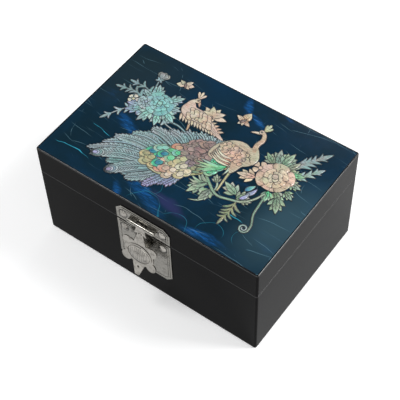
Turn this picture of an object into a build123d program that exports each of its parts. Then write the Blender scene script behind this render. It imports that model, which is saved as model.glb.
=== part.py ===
from build123d import *
import math
import os

# Lacquered jewellery box with a hinged lid, a front clasp and a lift-out tray.
# Millimetres. Origin at the centre of the underside, +Z up, front face towards -Y.

# Case
case_w = 240.0
case_d = 160.0
case_h = 118.0
seam_z = 86.3
seam_gap = 0.3
wall_t = 9.0
corner_r = 2.0
edge_r = 1.0
lip_r = 0.6

# Bottom
felt_t = 0.8
felt_inset = 3.0
bottom_t = 6.0
bottom_rabbet = 4.0

# Lid top
sheet_t = 1.0
rim_w = 1.6
panel_t = 6.0
panel_rabbet = 4.0
inlay_t = 1.0
inlay_margin = 5.0

# Lid inside
lid_lining_t = 2.4
mirror_w = 150.0
mirror_d = 84.0
mirror_t = 2.0
mirror_lip = 2.0

# Base inside
lining_t = 1.2
lining_lip_h = 4.0
lip_gap = 0.4
floor_lining_t = 1.0
rest_w = 5.0

# Tray
tray_gap = 0.5
tray_h = 30.0
tray_wall_t = 4.0
tray_floor_t = 3.0
tray_below_seam = 2.0
roll_zone_d = 58.0
divider_t = 3.0
divider_drop = 2.0
roll_count = 5
roll_gap = 0.4
roll_crown = 5.0
roll_rest_h = 9.0
notch_r = 9.0
notch_drop = 3.0
cell_count = 3

# Back hinges
hinge_x = 70.0
hinge_w = 30.0
leaf_t = 1.0
leaf_h = 13.0
barrel_r = 2.2
axis_standoff = 2.5
knuckle_w = 11.4
knuckle_gap = 0.3
hinge_pin_r = 0.8
pin_gap = 0.05
pin_head_r = 1.5
pin_head_t = 0.6
stop_tail_l = 5.0
stop_tail_t = 1.2
stop_tail_deg = 4.0

# Screws and dome nails
screw_r = 0.8
screw_l = 7.0
screw_head_r = 1.7
screw_head_t = 0.8
hole_gap = 0.05
overcut = 1.0
screw_x = 9.0
screw_z = 8.5
nail_head_r = 3.9
nail_head_h = 1.7
nail_r = 0.9
nail_l = 6.0

# Clasp plates
plate_w = 58.6
plate_t = 0.8
field_t = 0.4
field_inset = 2.0
groove_inset = 3.4
groove_w = 0.7
groove_t = 0.3
plate_chamfer = 6.0
upper_plate_h = 19.2
lower_plate_h = 55.0
plate_seam_inset = 1.0
nail_x = 21.2
upper_nail_z = 10.6
lower_nail_z = 8.4

# Hasp
hasp_axis_z = 95.6
hasp_standoff = 3.5
hasp_tilt = 9.0
hasp_t = 1.1
hasp_barrel_r = 1.9
hasp_barrel_w = 10.0
hasp_lug_w = 9.0
hasp_pin_r = 0.7
neck_flare_w = 13.6
neck_flare_r = 9.4
neck_root_w = 15.0
fork_rise = 5.0
fork_gap = 1.2
fork_t = 0.6
shell_r = 34.4
shell_w = 32.0
shell_h = 27.0
foot_x = 13.6
foot_z = 9.4
foot_r = 5.4
medal_w = 25.0
medal_h = 19.5
medal_rise = 2.0
medal_gap = 0.4
medal_rings = 6
medal_turn = 80.0
rim_band_w = 1.5
rim_band_t = 0.5
scallop_r = 2.6
scallop_pitch = 4.7
tab_root_r = 47.4
tab_tip_r = 60.4
tab_w = 13.0
tab_tip_w = 4.5
tab_bend = 9.0
tab_hole_r = 1.1
tab_hole_drop = 3.4
tongue_r = 35.0
tongue_l = 6.8
tongue_w = 7.0
tongue_t = 2.0
slot_w = 8.6
slot_h = 6.4
slot_drop = 0.3
pocket_d = 6.2
spring_t = 0.4

# Values that follow from the sizes above
half_d = case_d / 2
inner_w = case_w - 2 * wall_t
inner_d = case_d - 2 * wall_t
base_top = seam_z - seam_gap / 2
lid_bottom = seam_z + seam_gap / 2
floor_z = felt_t + bottom_t + floor_lining_t
panel_top = case_h - sheet_t
panel_z = panel_top - panel_t
lining_w = inner_w - 2 * lip_gap
lining_d = inner_d - 2 * lip_gap
tray_w = lining_w - 2 * lining_t - 2 * tray_gap
tray_d = lining_d - 2 * lining_t - 2 * tray_gap
tray_top = seam_z - tray_below_seam
tray_z = tray_top - tray_h
hinge_y = half_d + axis_standoff
hasp_y = -half_d - hasp_standoff
plate_front = -half_d - plate_t - field_t


def block(x0, x1, y0, y1, z0, z1):
    """Box between two corners."""
    size = (x1 - x0, y1 - y0, z1 - z0)
    centre = ((x0 + x1) / 2, (y0 + y1) / 2, (z0 + z1) / 2)
    return Pos(*centre) * Box(*size)


def slab(width, depth, z0, z1):
    """Box centred on the Z axis between two heights."""
    return block(-width / 2, width / 2, -depth / 2, depth / 2, z0, z1)


def rod_x(radius, x0, x1, y, z):
    """Cylinder along X."""
    return Pos((x0 + x1) / 2, y, z) * Rot(0, 90, 0) * Cylinder(radius, x1 - x0)


def rod_y(radius, x, y0, y1, z):
    """Cylinder along Y."""
    return Pos(x, (y0 + y1) / 2, z) * Rot(90, 0, 0) * Cylinder(radius, y1 - y0)


def save(shape, node):
    """Writes one sub-part."""
    export_step(shape, "parts/" + node + ".step")


def mitred(ring, width, depth, prefix):
    """Saves a rectangular ring as four boards, cut at its mitres."""
    reach = min(width, depth) / 3
    x_out = width / 2 + reach
    y_out = depth / 2 + reach
    x_in = width / 2 - reach
    y_in = depth / 2 - reach
    front = [(-x_out, -y_out), (x_out, -y_out), (x_in, -y_in), (-x_in, -y_in)]
    right = [(x_out, -y_out), (x_out, y_out), (x_in, y_in), (x_in, -y_in)]
    for side, outline, turn in (
        ("front", front, 0), ("right", right, 0), ("back", front, 180), ("left", right, 180),
    ):
        face = make_face(Polyline(*outline, close=True))
        wedge = Rot(0, 0, turn) * extrude(face, 2 * case_h, both=True)
        save(ring & wedge, prefix + side)


def edges_at(shape, axis, value):
    """Edges that lie wholly at one coordinate."""
    return shape.edges().filter_by_position(axis, value - 0.01, value + 0.01)


def case_block(z0, z1):
    """Solid case blank with rounded corners."""
    blank = slab(case_w, case_d, z0, z1)
    return fillet(blank.edges().filter_by(Axis.Z), corner_r)


def back_screw_places():
    """X of each back screw."""
    return [centre + shift for centre in (-hinge_x, hinge_x) for shift in (-screw_x, screw_x)]


def screw_holes(z):
    """Pilot holes in the back board for one row of hinge screws."""
    return [rod_y(screw_r + hole_gap, x, half_d - screw_l, half_d + overcut, z) for x in back_screw_places()]


def nail_holes(z):
    """Pilot holes in the front board for one pair of dome nails."""
    depth = nail_l - plate_t - field_t + 2 * hole_gap
    return [rod_y(nail_r + hole_gap, x, -half_d - overcut, -half_d + depth, z) for x in (-nail_x, nail_x)]


def slot_z():
    """Height of the keeper slot's centre."""
    return hasp_axis_z - tongue_r - slot_drop


def base_case():
    """Base boards: a rabbeted ring, cut at its mitres, with pilot holes and the keeper pocket."""
    ring = case_block(felt_t, base_top)
    ring = fillet(edges_at(ring, Axis.Z, felt_t), edge_r)
    ring = fillet(edges_at(ring, Axis.Z, base_top), lip_r)
    ring -= slab(inner_w, inner_d, 0, case_h)
    rabbet = 2 * bottom_rabbet
    ring -= slab(inner_w + rabbet, inner_d + rabbet, 0, felt_t + bottom_t)
    for hole in screw_holes(seam_z - screw_z) + nail_holes(base_top - lower_nail_z):
        ring -= hole
    half_slot = slot_w / 2
    ring -= block(-half_slot, half_slot, -half_d - overcut, -half_d + pocket_d,
                  slot_z() - slot_h / 2, slot_z() + slot_h / 2)
    mitred(ring, case_w, case_d, "base_board_")


def bottom_and_felt():
    """Bottom board in its rabbet, and the felt that it stands on."""
    rabbet = 2 * bottom_rabbet
    save(slab(inner_w + rabbet, inner_d + rabbet, felt_t, felt_t + bottom_t), "bottom_board")
    felt = slab(case_w - 2 * felt_inset, case_d - 2 * felt_inset, 0, felt_t)
    save(fillet(felt.edges().filter_by(Axis.Z), corner_r), "underside_felt")


def base_lining():
    """Suede-covered card round the walls, standing above the seam, and the floor card."""
    top = seam_z + lining_lip_h
    outer = slab(lining_w, lining_d, floor_z, top)
    inner = slab(lining_w - 2 * lining_t, lining_d - 2 * lining_t, 0, case_h)
    ring = chamfer(edges_at(outer, Axis.Z, top), lining_t / 2)
    mitred(ring - inner, lining_w, lining_d, "wall_lining_")
    save(slab(lining_w, lining_d, felt_t + bottom_t, floor_z), "floor_lining")


def tray_rests():
    """Two strips on the end walls that carry the tray."""
    x_out = lining_w / 2 - lining_t
    half = lining_d / 2 - lining_t
    for side, x0, x1 in (("left", -x_out, -x_out + rest_w), ("right", x_out - rest_w, x_out)):
        strip = block(x0, x1, -half, half, floor_z, tray_z)
        save(strip, "tray_rest_" + side)


def lid_case():
    """Lid boards: a ring with rabbets for the top panel and for the lacquered sheet."""
    ring = case_block(lid_bottom, case_h)
    ring = fillet(edges_at(ring, Axis.Z, case_h), edge_r)
    ring = fillet(edges_at(ring, Axis.Z, lid_bottom), lip_r)
    ring -= slab(inner_w, inner_d, 0, 2 * case_h)
    rabbet = 2 * panel_rabbet
    ring -= slab(inner_w + rabbet, inner_d + rabbet, panel_z, 2 * case_h)
    ring -= slab(case_w - 2 * rim_w, case_d - 2 * rim_w, panel_top, 2 * case_h)
    for hole in screw_holes(seam_z + screw_z) + nail_holes(lid_bottom + upper_nail_z):
        ring -= hole
    mitred(ring, case_w, case_d, "lid_board_")


def lid_top():
    """Top panel in its rabbet, and the blue lacquered sheet laid over it."""
    rabbet = 2 * panel_rabbet
    save(slab(inner_w + rabbet, inner_d + rabbet, panel_z, panel_top), "top_panel")
    sheet = slab(case_w - 2 * rim_w, case_d - 2 * rim_w, panel_top, case_h)
    save(sheet, "blue_lacquer_sheet")


def lid_inside():
    """Suede ceiling card with a window, and the mirror held in it."""
    card_z = panel_z - lid_lining_t
    card = slab(inner_w, inner_d, card_z, panel_z)
    card -= slab(mirror_w, mirror_d, panel_z - mirror_t, panel_z)
    window = slab(mirror_w - 2 * mirror_lip, mirror_d - 2 * mirror_lip, card_z - overcut, panel_z)
    save(card - fillet(window.edges().filter_by(Axis.Z), corner_r), "lid_lining")
    save(slab(mirror_w, mirror_d, panel_z - mirror_t, panel_z), "lid_mirror")


def hinge_leaf(x, side):
    """One leaf of a back hinge with its knuckles: side is 1 on the lid, -1 on the base."""
    plate_z = sorted((seam_z + side * seam_gap / 2, seam_z + side * leaf_h))
    leaf = block(x - hinge_w / 2, x + hinge_w / 2, half_d, half_d + leaf_t, *plate_z)
    far = leaf.edges().filter_by(Axis.Y).group_by(Axis.Z)[-1 if side > 0 else 0]
    leaf = fillet(far, corner_r)
    inner = (x - knuckle_w / 2, x + knuckle_w / 2)
    outer = [(x - hinge_w / 2, inner[0] - knuckle_gap), (inner[1] + knuckle_gap, x + hinge_w / 2)]
    mine = [inner] if side > 0 else outer
    other = outer if side > 0 else [inner]
    swing = barrel_r + 2 * knuckle_gap
    for x0, x1 in other:
        leaf -= block(x0 - knuckle_gap, x1 + knuckle_gap, half_d - overcut, half_d + 2 * leaf_t,
                      seam_z - swing, seam_z + swing)
    for x0, x1 in mine:
        leaf += rod_x(barrel_r, x0, x1, hinge_y, seam_z)
        leaf -= rod_x(hinge_pin_r + pin_gap, x0 - overcut, x1 + overcut, hinge_y, seam_z)
    if side > 0:
        half = stop_tail_t / 2
        tail = block(inner[0], inner[1], barrel_r - stop_tail_t, stop_tail_l, -half, half)
        leaf += Pos(0, hinge_y, seam_z) * Rot(stop_tail_deg, 0, 0) * tail
    for screw in (x - screw_x, x + screw_x):
        z = seam_z + side * screw_z
        leaf -= rod_y(screw_r + hole_gap, screw, half_d - overcut, half_d + 2 * leaf_t, z)
    return leaf


def dome(radius, height):
    """Dome nail head: a cap with a small cylindrical foot, its flat face at the XY plane."""
    ball_r = (radius ** 2 + height ** 2) / (2 * height)
    cap = Pos(0, 0, height - ball_r) * Sphere(ball_r)
    return cap & Pos(0, 0, height / 2) * Cylinder(radius, height)


def back_hinges():
    """Two hinges: leaves, pins with peened ends, and screws."""
    pins = []
    screws = {1: [], -1: []}
    for name, x in (("left", -hinge_x), ("right", hinge_x)):
        save(hinge_leaf(x, -1), "hinge_leaf_base_" + name)
        save(hinge_leaf(x, 1), "hinge_leaf_lid_" + name)
        half = hinge_w / 2 + pin_gap
        pin = rod_x(hinge_pin_r, x - half, x + half, hinge_y, seam_z)
        for end in (-1, 1):
            head = Rot(0, end * 90, 0) * dome(pin_head_r, pin_head_t)
            pin += Pos(x + end * half, hinge_y, seam_z) * head
        pins.append(pin)
    for side in (-1, 1):
        for x in back_screw_places():
            z = seam_z + side * screw_z
            head = Rot(-90, 0, 0) * dome(screw_head_r, screw_head_t)
            screw = Pos(x, half_d + leaf_t, z) * head
            screw += rod_y(screw_r, x, half_d + leaf_t - screw_l, half_d + leaf_t + screw_head_t / 2, z)
            screws[side].append(screw)
    save(Compound(children=pins), "hinge_pins")
    save(Compound(children=screws[-1]), "hinge_screws_base")
    save(Compound(children=screws[1]), "hinge_screws_lid")


def cut_corner_outline(width, z0, z1, cut, cut_top):
    """Clasp plate outline in X and Z with two chamfered corners, at the top or at the bottom."""
    half = width / 2
    if cut_top:
        cut_side = [(half, z0), (half, z1 - cut), (half - cut, z1)]
    else:
        cut_side = [(half - cut, z0), (half, z0 + cut), (half, z1)]
    return cut_side + [(-x, z) for x, z in cut_side[::-1]]


def plate_layer(width, z0, z1, cut, cut_top, y0, y1):
    """Flat layer of a clasp plate between two depths."""
    outline = cut_corner_outline(width, z0, z1, cut, cut_top)
    face = make_face(Polyline(*[(x, 0, z) for x, z in outline], close=True))
    return Pos(0, y0, 0) * extrude(face, y1 - y0, dir=(0, 1, 0))


def clasp_plate(z0, z1, cut_top):
    """Pressed plate: a flange, a raised field and a groove that runs round the field."""
    back = -half_d
    step = back - plate_t
    front = step - field_t
    plate = plate_layer(plate_w, z0, z1, plate_chamfer, cut_top, step, back)
    shares = (field_inset, groove_inset, groove_inset + groove_w)
    layers = []
    for inset in shares:
        cut = plate_chamfer - inset * (2 - math.sqrt(2))
        layers.append((plate_w - 2 * inset, z0 + inset, z1 - inset, cut, cut_top))
    plate += plate_layer(*layers[0], front, step)
    groove = plate_layer(*layers[1], front - overcut, front + groove_t)
    groove -= plate_layer(*layers[2], front - overcut, front + groove_t)
    return plate - groove


def plate_nail_holes(z):
    """Holes for one pair of dome nails through a clasp plate."""
    y0, y1 = plate_front - overcut, -half_d + overcut
    return [rod_y(nail_r + hole_gap, x, y0, y1, z) for x in (-nail_x, nail_x)]


def clasp_plates():
    """Upper plate with the hasp's lugs, lower plate with the keeper slot, and their nails."""
    upper_z0 = lid_bottom + plate_seam_inset
    upper = clasp_plate(upper_z0, upper_z0 + upper_plate_h, True)
    gap = knuckle_gap
    inner = hasp_barrel_w / 2 + gap
    for side in (-1, 1):
        x0, x1 = sorted((side * inner, side * (inner + hasp_lug_w)))
        lug = rod_x(hasp_barrel_r, x0, x1, hasp_y, hasp_axis_z)
        lug += block(x0, x1, hasp_y, plate_front + field_t, hasp_axis_z, hasp_axis_z + hasp_barrel_r)
        upper += lug
    upper -= rod_x(hasp_pin_r + pin_gap, -plate_w, plate_w, hasp_y, hasp_axis_z)
    for hole in plate_nail_holes(lid_bottom + upper_nail_z):
        upper -= hole
    save(upper, "upper_plate")
    lower_z1 = base_top - plate_seam_inset
    lower = clasp_plate(lower_z1 - lower_plate_h, lower_z1, False)
    half_slot = slot_w / 2
    lower -= block(-half_slot, half_slot, plate_front - overcut, -half_d + overcut,
                   slot_z() - slot_h / 2, slot_z() + slot_h / 2)
    for hole in plate_nail_holes(base_top - lower_nail_z):
        lower -= hole
    save(lower, "lower_plate")
    for node, z in (("upper_nails", lid_bottom + upper_nail_z), ("lower_nails", base_top - lower_nail_z)):
        nails = []
        for x in (-nail_x, nail_x):
            nail = Pos(x, plate_front, z) * Rot(90, 0, 0) * dome(nail_head_r, nail_head_h)
            nail += rod_y(nail_r, x, plate_front - nail_head_h / 2, plate_front + nail_l, z)
            nails.append(nail)
        save(Compound(children=nails), node)
    half = inner + hasp_lug_w + pin_gap
    pin = rod_x(hasp_pin_r, -half, half, hasp_y, hasp_axis_z)
    for end in (-1, 1):
        pin += Pos(end * half, hasp_y, hasp_axis_z) * Rot(0, end * 90, 0) * dome(pin_head_r, pin_head_t)
    save(pin, "hasp_pin")


def keeper_spring():
    """Leaf spring in the pocket behind the slot, bowed up against the tongue."""
    z0 = slot_z() - slot_h / 2
    wall = half_d - plate_t
    y0 = -half_d + spring_t
    y1 = -half_d + pocket_d - spring_t
    bow = slot_h / 6
    middle = (y0 + y1) / 2
    upper = ThreePointArc((y0, z0 + spring_t), (middle, z0 + bow + spring_t), (y1, z0 + spring_t))
    lower = ThreePointArc((y0, z0), (middle, z0 + bow), (y1, z0))
    ends = [Line((y0, z0), (y0, z0 + spring_t)), Line((y1, z0), (y1, z0 + spring_t))]
    face = Plane.YZ * make_face([upper, lower] + ends)
    half = slot_w / 2 - hole_gap
    save(Pos(-half, 0, 0) * extrude(face, 2 * half, dir=(1, 0, 0)), "keeper_spring")


def ellipse_layer(width, height, t0, t1, r):
    """Elliptical layer of the hasp: t is measured outwards from the hasp's middle plane."""
    face = Plane.XZ * Pos(0, -r) * Ellipse(width / 2, height / 2)
    return Pos(0, -t0, 0) * extrude(face, t1 - t0, dir=(0, -1, 0))


def hang(shape):
    """Moves a hasp piece, built hanging from the origin, to its axis at its resting tilt."""
    return Pos(0, hasp_y, hasp_axis_z) * Rot(-hasp_tilt, 0, 0) * shape


def hasp():
    """Shell-shaped hasp with knuckle, forked neck, domed medallion and bent finger tab."""
    half_t = hasp_t / 2
    outline = Pos(0, -shell_r) * Ellipse(shell_w / 2, shell_h / 2)
    for side in (-1, 1):
        for end in (-1, 1):
            outline += Pos(side * foot_x, -shell_r + end * foot_z) * Circle(foot_r)
    crest = shell_h / 2 - scallop_r / 2
    for step in (-2, -1, 0, 1, 2):
        x = step * scallop_pitch
        lift = crest * math.sqrt(1 - (x / shell_w) ** 2)
        outline += Pos(x, -shell_r + lift) * Circle(scallop_r)
    half_knuckle = hasp_barrel_w / 2
    half_flare = neck_flare_w / 2
    half_root = neck_root_w / 2
    neck_root = -shell_r + foot_z
    waist = half_root * neck_flare_r / -neck_root
    side = [
        (half_knuckle, 0), (half_knuckle, -neck_flare_r / 2), (half_flare, -neck_flare_r),
        (waist, -neck_flare_r + fork_gap), (half_root, neck_root),
    ]
    neck = side + [(-x, z) for x, z in side[::-1]]
    outline += make_face(Polyline(*neck, close=True))
    plate = Pos(0, half_t, 0) * extrude(Plane.XZ * outline, hasp_t, dir=(0, -1, 0))
    reach = waist - fork_gap / 2
    foot = -neck_flare_r + fork_gap
    arms = [(reach, foot), (reach - fork_gap, foot - fork_gap), (0, -fork_rise - fork_gap)]
    chevron = [(0, -fork_rise)] + arms + [(-x, z) for x, z in arms[1::-1]]
    groove = extrude(Plane.XZ * make_face(Polyline(*chevron, close=True)), fork_t, dir=(0, 1, 0))
    plate -= Pos(0, -half_t, 0) * groove
    plate += rod_x(hasp_barrel_r, -half_knuckle, half_knuckle, 0, 0)
    tab = [(-tab_w / 2, 0), (tab_w / 2, 0), (tab_tip_w / 2, tab_root_r - tab_tip_r),
           (-tab_tip_w / 2, tab_root_r - tab_tip_r)]
    tab_face = fillet(make_face(Polyline(*tab, close=True)).vertices().group_by(Axis.Y)[0], tab_tip_w / 3)
    tab_face -= Pos(0, -tab_hole_drop) * Circle(tab_hole_r)
    lobe = Pos(0, half_t, 0) * extrude(Plane.XZ * tab_face, hasp_t, dir=(0, -1, 0))
    root = rod_x(half_t, -tab_w / 2, tab_w / 2, 0, 0)
    plate += block(-tab_w / 2, tab_w / 2, -half_t, half_t, -tab_root_r, -shell_r)
    plate += Pos(0, 0, -tab_root_r) * (Rot(-tab_bend, 0, 0) * lobe + root)
    band = 2 * rim_band_w
    plate += ellipse_layer(medal_w + band, medal_h + band, half_t, half_t + rim_band_t, shell_r)
    plate -= ellipse_layer(medal_w, medal_h, half_t, 2 * hasp_t, shell_r)
    rings = []
    for step in range(medal_rings):
        turn = math.radians(medal_turn * step / (medal_rings - 1))
        share = math.cos(turn)
        ring = Ellipse((medal_w / 2 - medal_gap) * share, (medal_h / 2 - medal_gap) * share)
        rings.append(Pos(0, 0, medal_rise * math.sin(turn)) * ring)
    plate += Pos(0, -half_t, -shell_r) * Rot(90, 0, 0) * loft(rings)
    plate -= rod_x(hasp_pin_r + pin_gap, -plate_w, plate_w, 0, 0)
    save(hang(plate), "hasp_plate")
    tongue = block(-tongue_w / 2, tongue_w / 2, half_t, half_t + tongue_l,
                   -tongue_r - tongue_t / 2, -tongue_r + tongue_t / 2)
    tongue = fillet(edges_at(tongue, Axis.Y, half_t + tongue_l), tongue_t / 3)
    save(hang(tongue), "catch_tongue")


def tray():
    """Lift-out tray: floor, mitred walls with finger notches, dividers and ring rolls."""
    in_w = tray_w - 2 * tray_wall_t
    in_d = tray_d - 2 * tray_wall_t
    ring = slab(tray_w, tray_d, tray_z, tray_top) - slab(in_w, in_d, 0, case_h)
    notch_z = tray_top + notch_drop
    for side in (-1, 1):
        x0, x1 = sorted((side * tray_w, side * in_w / 3))
        ring -= rod_x(notch_r + notch_drop, x0, x1, 0, notch_z)
    mitred(ring, tray_w, tray_d, "tray_wall_")
    suede_z = tray_z + tray_floor_t
    deck_z = suede_z + felt_t
    save(slab(in_w, in_d, tray_z, suede_z), "tray_floor")
    save(slab(in_w, in_d, suede_z, deck_z), "tray_suede")
    top = tray_top - divider_drop
    long_y = -in_d / 2 + roll_zone_d
    save(block(-in_w / 2, in_w / 2, long_y, long_y + divider_t, deck_z, top), "tray_long_divider")
    pitch = in_w / cell_count
    crosses = []
    for number in range(1, cell_count):
        x = -in_w / 2 + number * pitch
        left, right = x - divider_t / 2, x + divider_t / 2
        crosses.append(block(left, right, long_y + divider_t, in_d / 2, deck_z, top))
    save(Compound(children=crosses), "tray_cross_dividers")
    ring_rolls(in_w, -in_d / 2, deck_z)


def ring_rolls(in_w, front_y, z0):
    """Padded rolls that grip rings between them, each a crowned bar with rounded ends."""
    pitch = roll_zone_d / roll_count
    shoulder = z0 + roll_rest_h
    half = in_w / 2 - roll_gap
    for number in range(roll_count):
        y0 = front_y + number * pitch + roll_gap / 2
        y1 = y0 + pitch - roll_gap
        waist = roll_gap
        sides = [
            Line((y0, z0), (y1, z0)),
            ThreePointArc((y1, z0), (y1 - waist, (z0 + shoulder) / 2), (y1, shoulder)),
            ThreePointArc((y1, shoulder), ((y0 + y1) / 2, shoulder + roll_crown), (y0, shoulder)),
            ThreePointArc((y0, shoulder), (y0 + waist, (z0 + shoulder) / 2), (y0, z0)),
        ]
        face = Plane.YZ * make_face(sides)
        roll = Pos(-half, 0, 0) * extrude(face, 2 * half, dir=(1, 0, 0))
        save(roll, "ring_roll_" + str(number + 1))


# Inlay drawing: places in millimetres from the middle of the lid, X right and Y back
drawing_w = 226.8
drawing_d = 146.8

peacock_body = [
    (38.8, 29.0), (33.3, 30.6), (27.0, 30.2), (20.5, 27.2), (15.0, 21.6), (10.8, 14.6), (9.6, 6.3),
    (12.5, 0.6), (22.5, 0.4), (31.0, 1.4), (35.0, 0.2), (38.4, -5.2), (41.6, -1.2), (43.6, 6.4),
    (47.0, 9.4), (50.9, 14.7), (51.8, 20.5), (49.2, 26.3), (45.0, 31.3), (42.0, 33.0),
]
peahen_body = [
    (-34.0, 44.5), (-29.5, 40.5), (-22.0, 40.0), (-14.5, 37.6), (-5.0, 32.6), (4.0, 27.0), (12.6, 22.4),
    (9.5, 21.4), (0.0, 22.8), (-9.0, 21.6), (-18.0, 20.4), (-27.0, 20.6), (-34.0, 24.2), (-39.6, 30.0),
    (-41.0, 36.0), (-38.6, 42.0),
]
cover_outline = [
    (-17.9, -4.8), (-23.0, -11.0), (-29.0, -16.0), (-33.5, -20.4), (-38.6, -28.0), (-37.2, -35.0),
    (-28.3, -39.6), (-16.0, -41.5), (-8.0, -40.0), (-1.3, -36.5), (10.0, -28.5), (20.6, -18.8),
    (30.0, -7.5), (34.4, -0.2), (12.0, 5.0), (9.2, 12.0), (1.9, 13.8), (-6.5, 8.0), (-12.7, 0.4),
]
cover_scale_r = 3.4
train_feathers = [
    ((-26, -34), (-52, -42), (-78, -56), 12), ((-24, -38), (-38, -49), (-54, -65), 12),
    ((-10, -36), (-20, -49), (-34, -61), 11), ((-4, -32), (-9, -45), (-16, -59), 10),
    ((4, -28), (3, -38), (-1, -48), 9), ((-28, -30), (-56, -34), (-83, -53), 11),
    ((-28, -27), (-54, -29), (-77, -42), 11), ((-28, -22), (-50, -23), (-71, -28), 12),
    ((-26, -15), (-44, -13), (-60, -17), 12), ((-20, -7), (-34, -2), (-49, -2), 12),
    ((-12, -1), (-21, 4), (-32, 5), 10), ((-7, 5), (-13, 10), (-20, 13), 8),
    ((1, 10), (-3, 15), (-9, 18), 8),
    ((8, 10), (5, 17), (1, 21), 7), ((11, 12), (12, 18), (10, 23), 6),
]


def smooth(points, steps=3, closed=True):
    """Points along a rounded curve through the given points, a cubic between each pair."""
    count = len(points)
    spans = count if closed else count - 1
    result = []
    for i in range(spans):
        if closed:
            a, b, c, d = (points[(i + k) % count] for k in (-1, 0, 1, 2))
        else:
            a, b, c, d = (points[min(max(i + k, 0), count - 1)] for k in (-1, 0, 1, 2))
        for step in range(steps):
            t = step / steps
            result.append(tuple(
                0.5 * (2 * b[n] + (c[n] - a[n]) * t + (2 * a[n] - 5 * b[n] + 4 * c[n] - d[n]) * t ** 2
                       + (3 * b[n] - a[n] - 3 * c[n] + d[n]) * t ** 3)
                for n in (0, 1)))
    if not closed:
        result.append(points[-1])
    return result


def inlay_face(points):
    """Face of an inlay outline, fitted to the lid's own size."""
    fit_w = (case_w - 2 * rim_w - 2 * inlay_margin) / drawing_w
    fit_d = (case_d - 2 * rim_w - 2 * inlay_margin) / drawing_d
    fit = min(fit_w, fit_d)
    return make_face(Polyline(*[(x * fit, y * fit) for x, y in points], close=True))


def away(point, reach, turn):
    """Point at a distance and a direction from another."""
    angle = math.radians(turn)
    return (point[0] + reach * math.cos(angle), point[1] + reach * math.sin(angle))


def ribbon(points, half_width, steps):
    """Face along a rounded path, whose half width is a function of the share of the path."""
    path = smooth(points, steps, closed=False)
    last = len(path) - 1
    left = []
    right = []
    for i in range(1, last):
        (x, y), before, after = path[i], path[i - 1], path[i + 1]
        run = math.dist(before, after)
        half = half_width(i / last)
        nx = (before[1] - after[1]) / run * half
        ny = (after[0] - before[0]) / run * half
        left.append((x + nx, y + ny))
        right.append((x - nx, y - ny))
    return inlay_face([path[0]] + left + [path[-1]] + right[::-1])


def stem(points, start_w, end_w, steps=4):
    """Tapering ribbon."""
    return ribbon(points, lambda t: (start_w + (end_w - start_w) * t) / 2, steps)


def blade(points, width, teeth=0, steps=4):
    """Pointed leaf or feather: half-width follows a sine, notched when it has teeth."""
    def half(t):
        notch = 0.8 + 0.2 * math.cos(2 * math.pi * teeth * t) if teeth else 1
        return width / 2 * math.sin(math.pi * t ** 0.8) * notch
    return ribbon(points, half, steps)


def leaf(root, turn, length):
    """Cut leaf: a middle lobe and two pairs of side lobes."""
    shape = blade([root, away(root, length, turn)], length * 0.34, steps=8)
    for share, reach, spread in ((0.12, 0.5, 46), (0.38, 0.48, 34)):
        start = away(root, length * share, turn)
        for side in (-1, 1):
            tip = away(start, length * reach, turn + side * spread)
            shape += blade([start, tip], length * 0.24, steps=6)
    return shape


def sprig(points, length, width, pairs, spread=42):
    """Stem with pairs of slim leaves and one at its end."""
    shape = stem(points, 1.3, 0.9)
    path = smooth(points, 12, closed=False)
    last = len(path) - 1
    for number in range(pairs + 1):
        place = min(int(last * (0.2 + 0.7 * number / max(pairs - 1, 1))), last)
        before, here = path[place - 1], path[place]
        turn = math.degrees(math.atan2(here[1] - before[1], here[0] - before[0]))
        if number == pairs:
            shape += blade([before, away(here, length, turn)], width, steps=6)
            continue
        size = length * (1 - 0.3 * number / pairs)
        for side in (-1, 1):
            shape += blade([here, away(here, size, turn + side * spread)], width, steps=6)
    return shape


def blossom(centre, radius, petals, depth, turn=0):
    """Flower outline: the radius swells over each petal and dips between two petals."""
    outline = []
    count = 6 * petals
    for i in range(count):
        angle = 360 * i / count
        swell = abs(math.sin(math.radians(petals * angle / 2)))
        outline.append(away(centre, radius * (1 - depth + depth * swell), angle + turn))
    return inlay_face(outline)


def crest(root, tips, width):
    """Head feathers: ribbons that widen to their tips."""
    shape = None
    for tip in tips:
        plume = stem([root, tip], width / 3, width)
        shape = plume if shape is None else shape + plume
    return shape


def butterfly(centre, turn, span):
    """Butterfly: two large and two small wings round a slim body."""
    shape = blade([away(centre, -0.4 * span, turn), away(centre, 0.35 * span, turn)], span * 0.2)
    for side in (-1, 1):
        for angle, length, width in ((48, 1.0, 0.6), (118, 0.72, 0.5)):
            shape += blade([centre, away(centre, span * length, turn + side * angle)], span * width, steps=6)
    return shape


def peacock():
    """Standing peacock with its neck, crest, beak, thigh and leg."""
    shape = inlay_face(smooth(peacock_body))
    shape += stem([(43.4, 26), (41.2, 35), (42.6, 42), (40.6, 47.6), (37.4, 50.2)], 5.4, 3.6)
    shape += crest((37.8, 50.6), ((39.3, 61.6), (36.4, 59.8), (42.6, 58.4)), 2.8)
    shape += blade([(38.2, 47.8), (33, 47), (28, 44.8)], 2.4)
    shape += stem([(38.6, -3.5), (39.5, -14), (41, -27)], 2.2, 1.6)
    return shape


def peahen():
    """Peahen with its neck, crest, beak, leg and fringed breast feathers."""
    shape = inlay_face(smooth(peahen_body))
    shape += stem([(-37, 36), (-37.6, 43), (-33.6, 48.4)], 7, 4.4)
    shape += crest((-33.6, 49.5), ((-38.2, 57.6), (-34.6, 59.4), (-30.4, 57.4)), 2.8)
    shape += blade([(-33, 48.6), (-30, 45.6), (-27.8, 42.2)], 2.4)
    shape += stem([(-24, 22), (-22, 17), (-21.2, 13.6)], 2.2, 1.4)
    for number in range(12):
        root = (-35 + 3.5 * number, 27 - 0.2 * number)
        shape += blade([root, away(root, 8.2 - 0.3 * number, 292 + 1.4 * number)], 2.6)
    return shape


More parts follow.
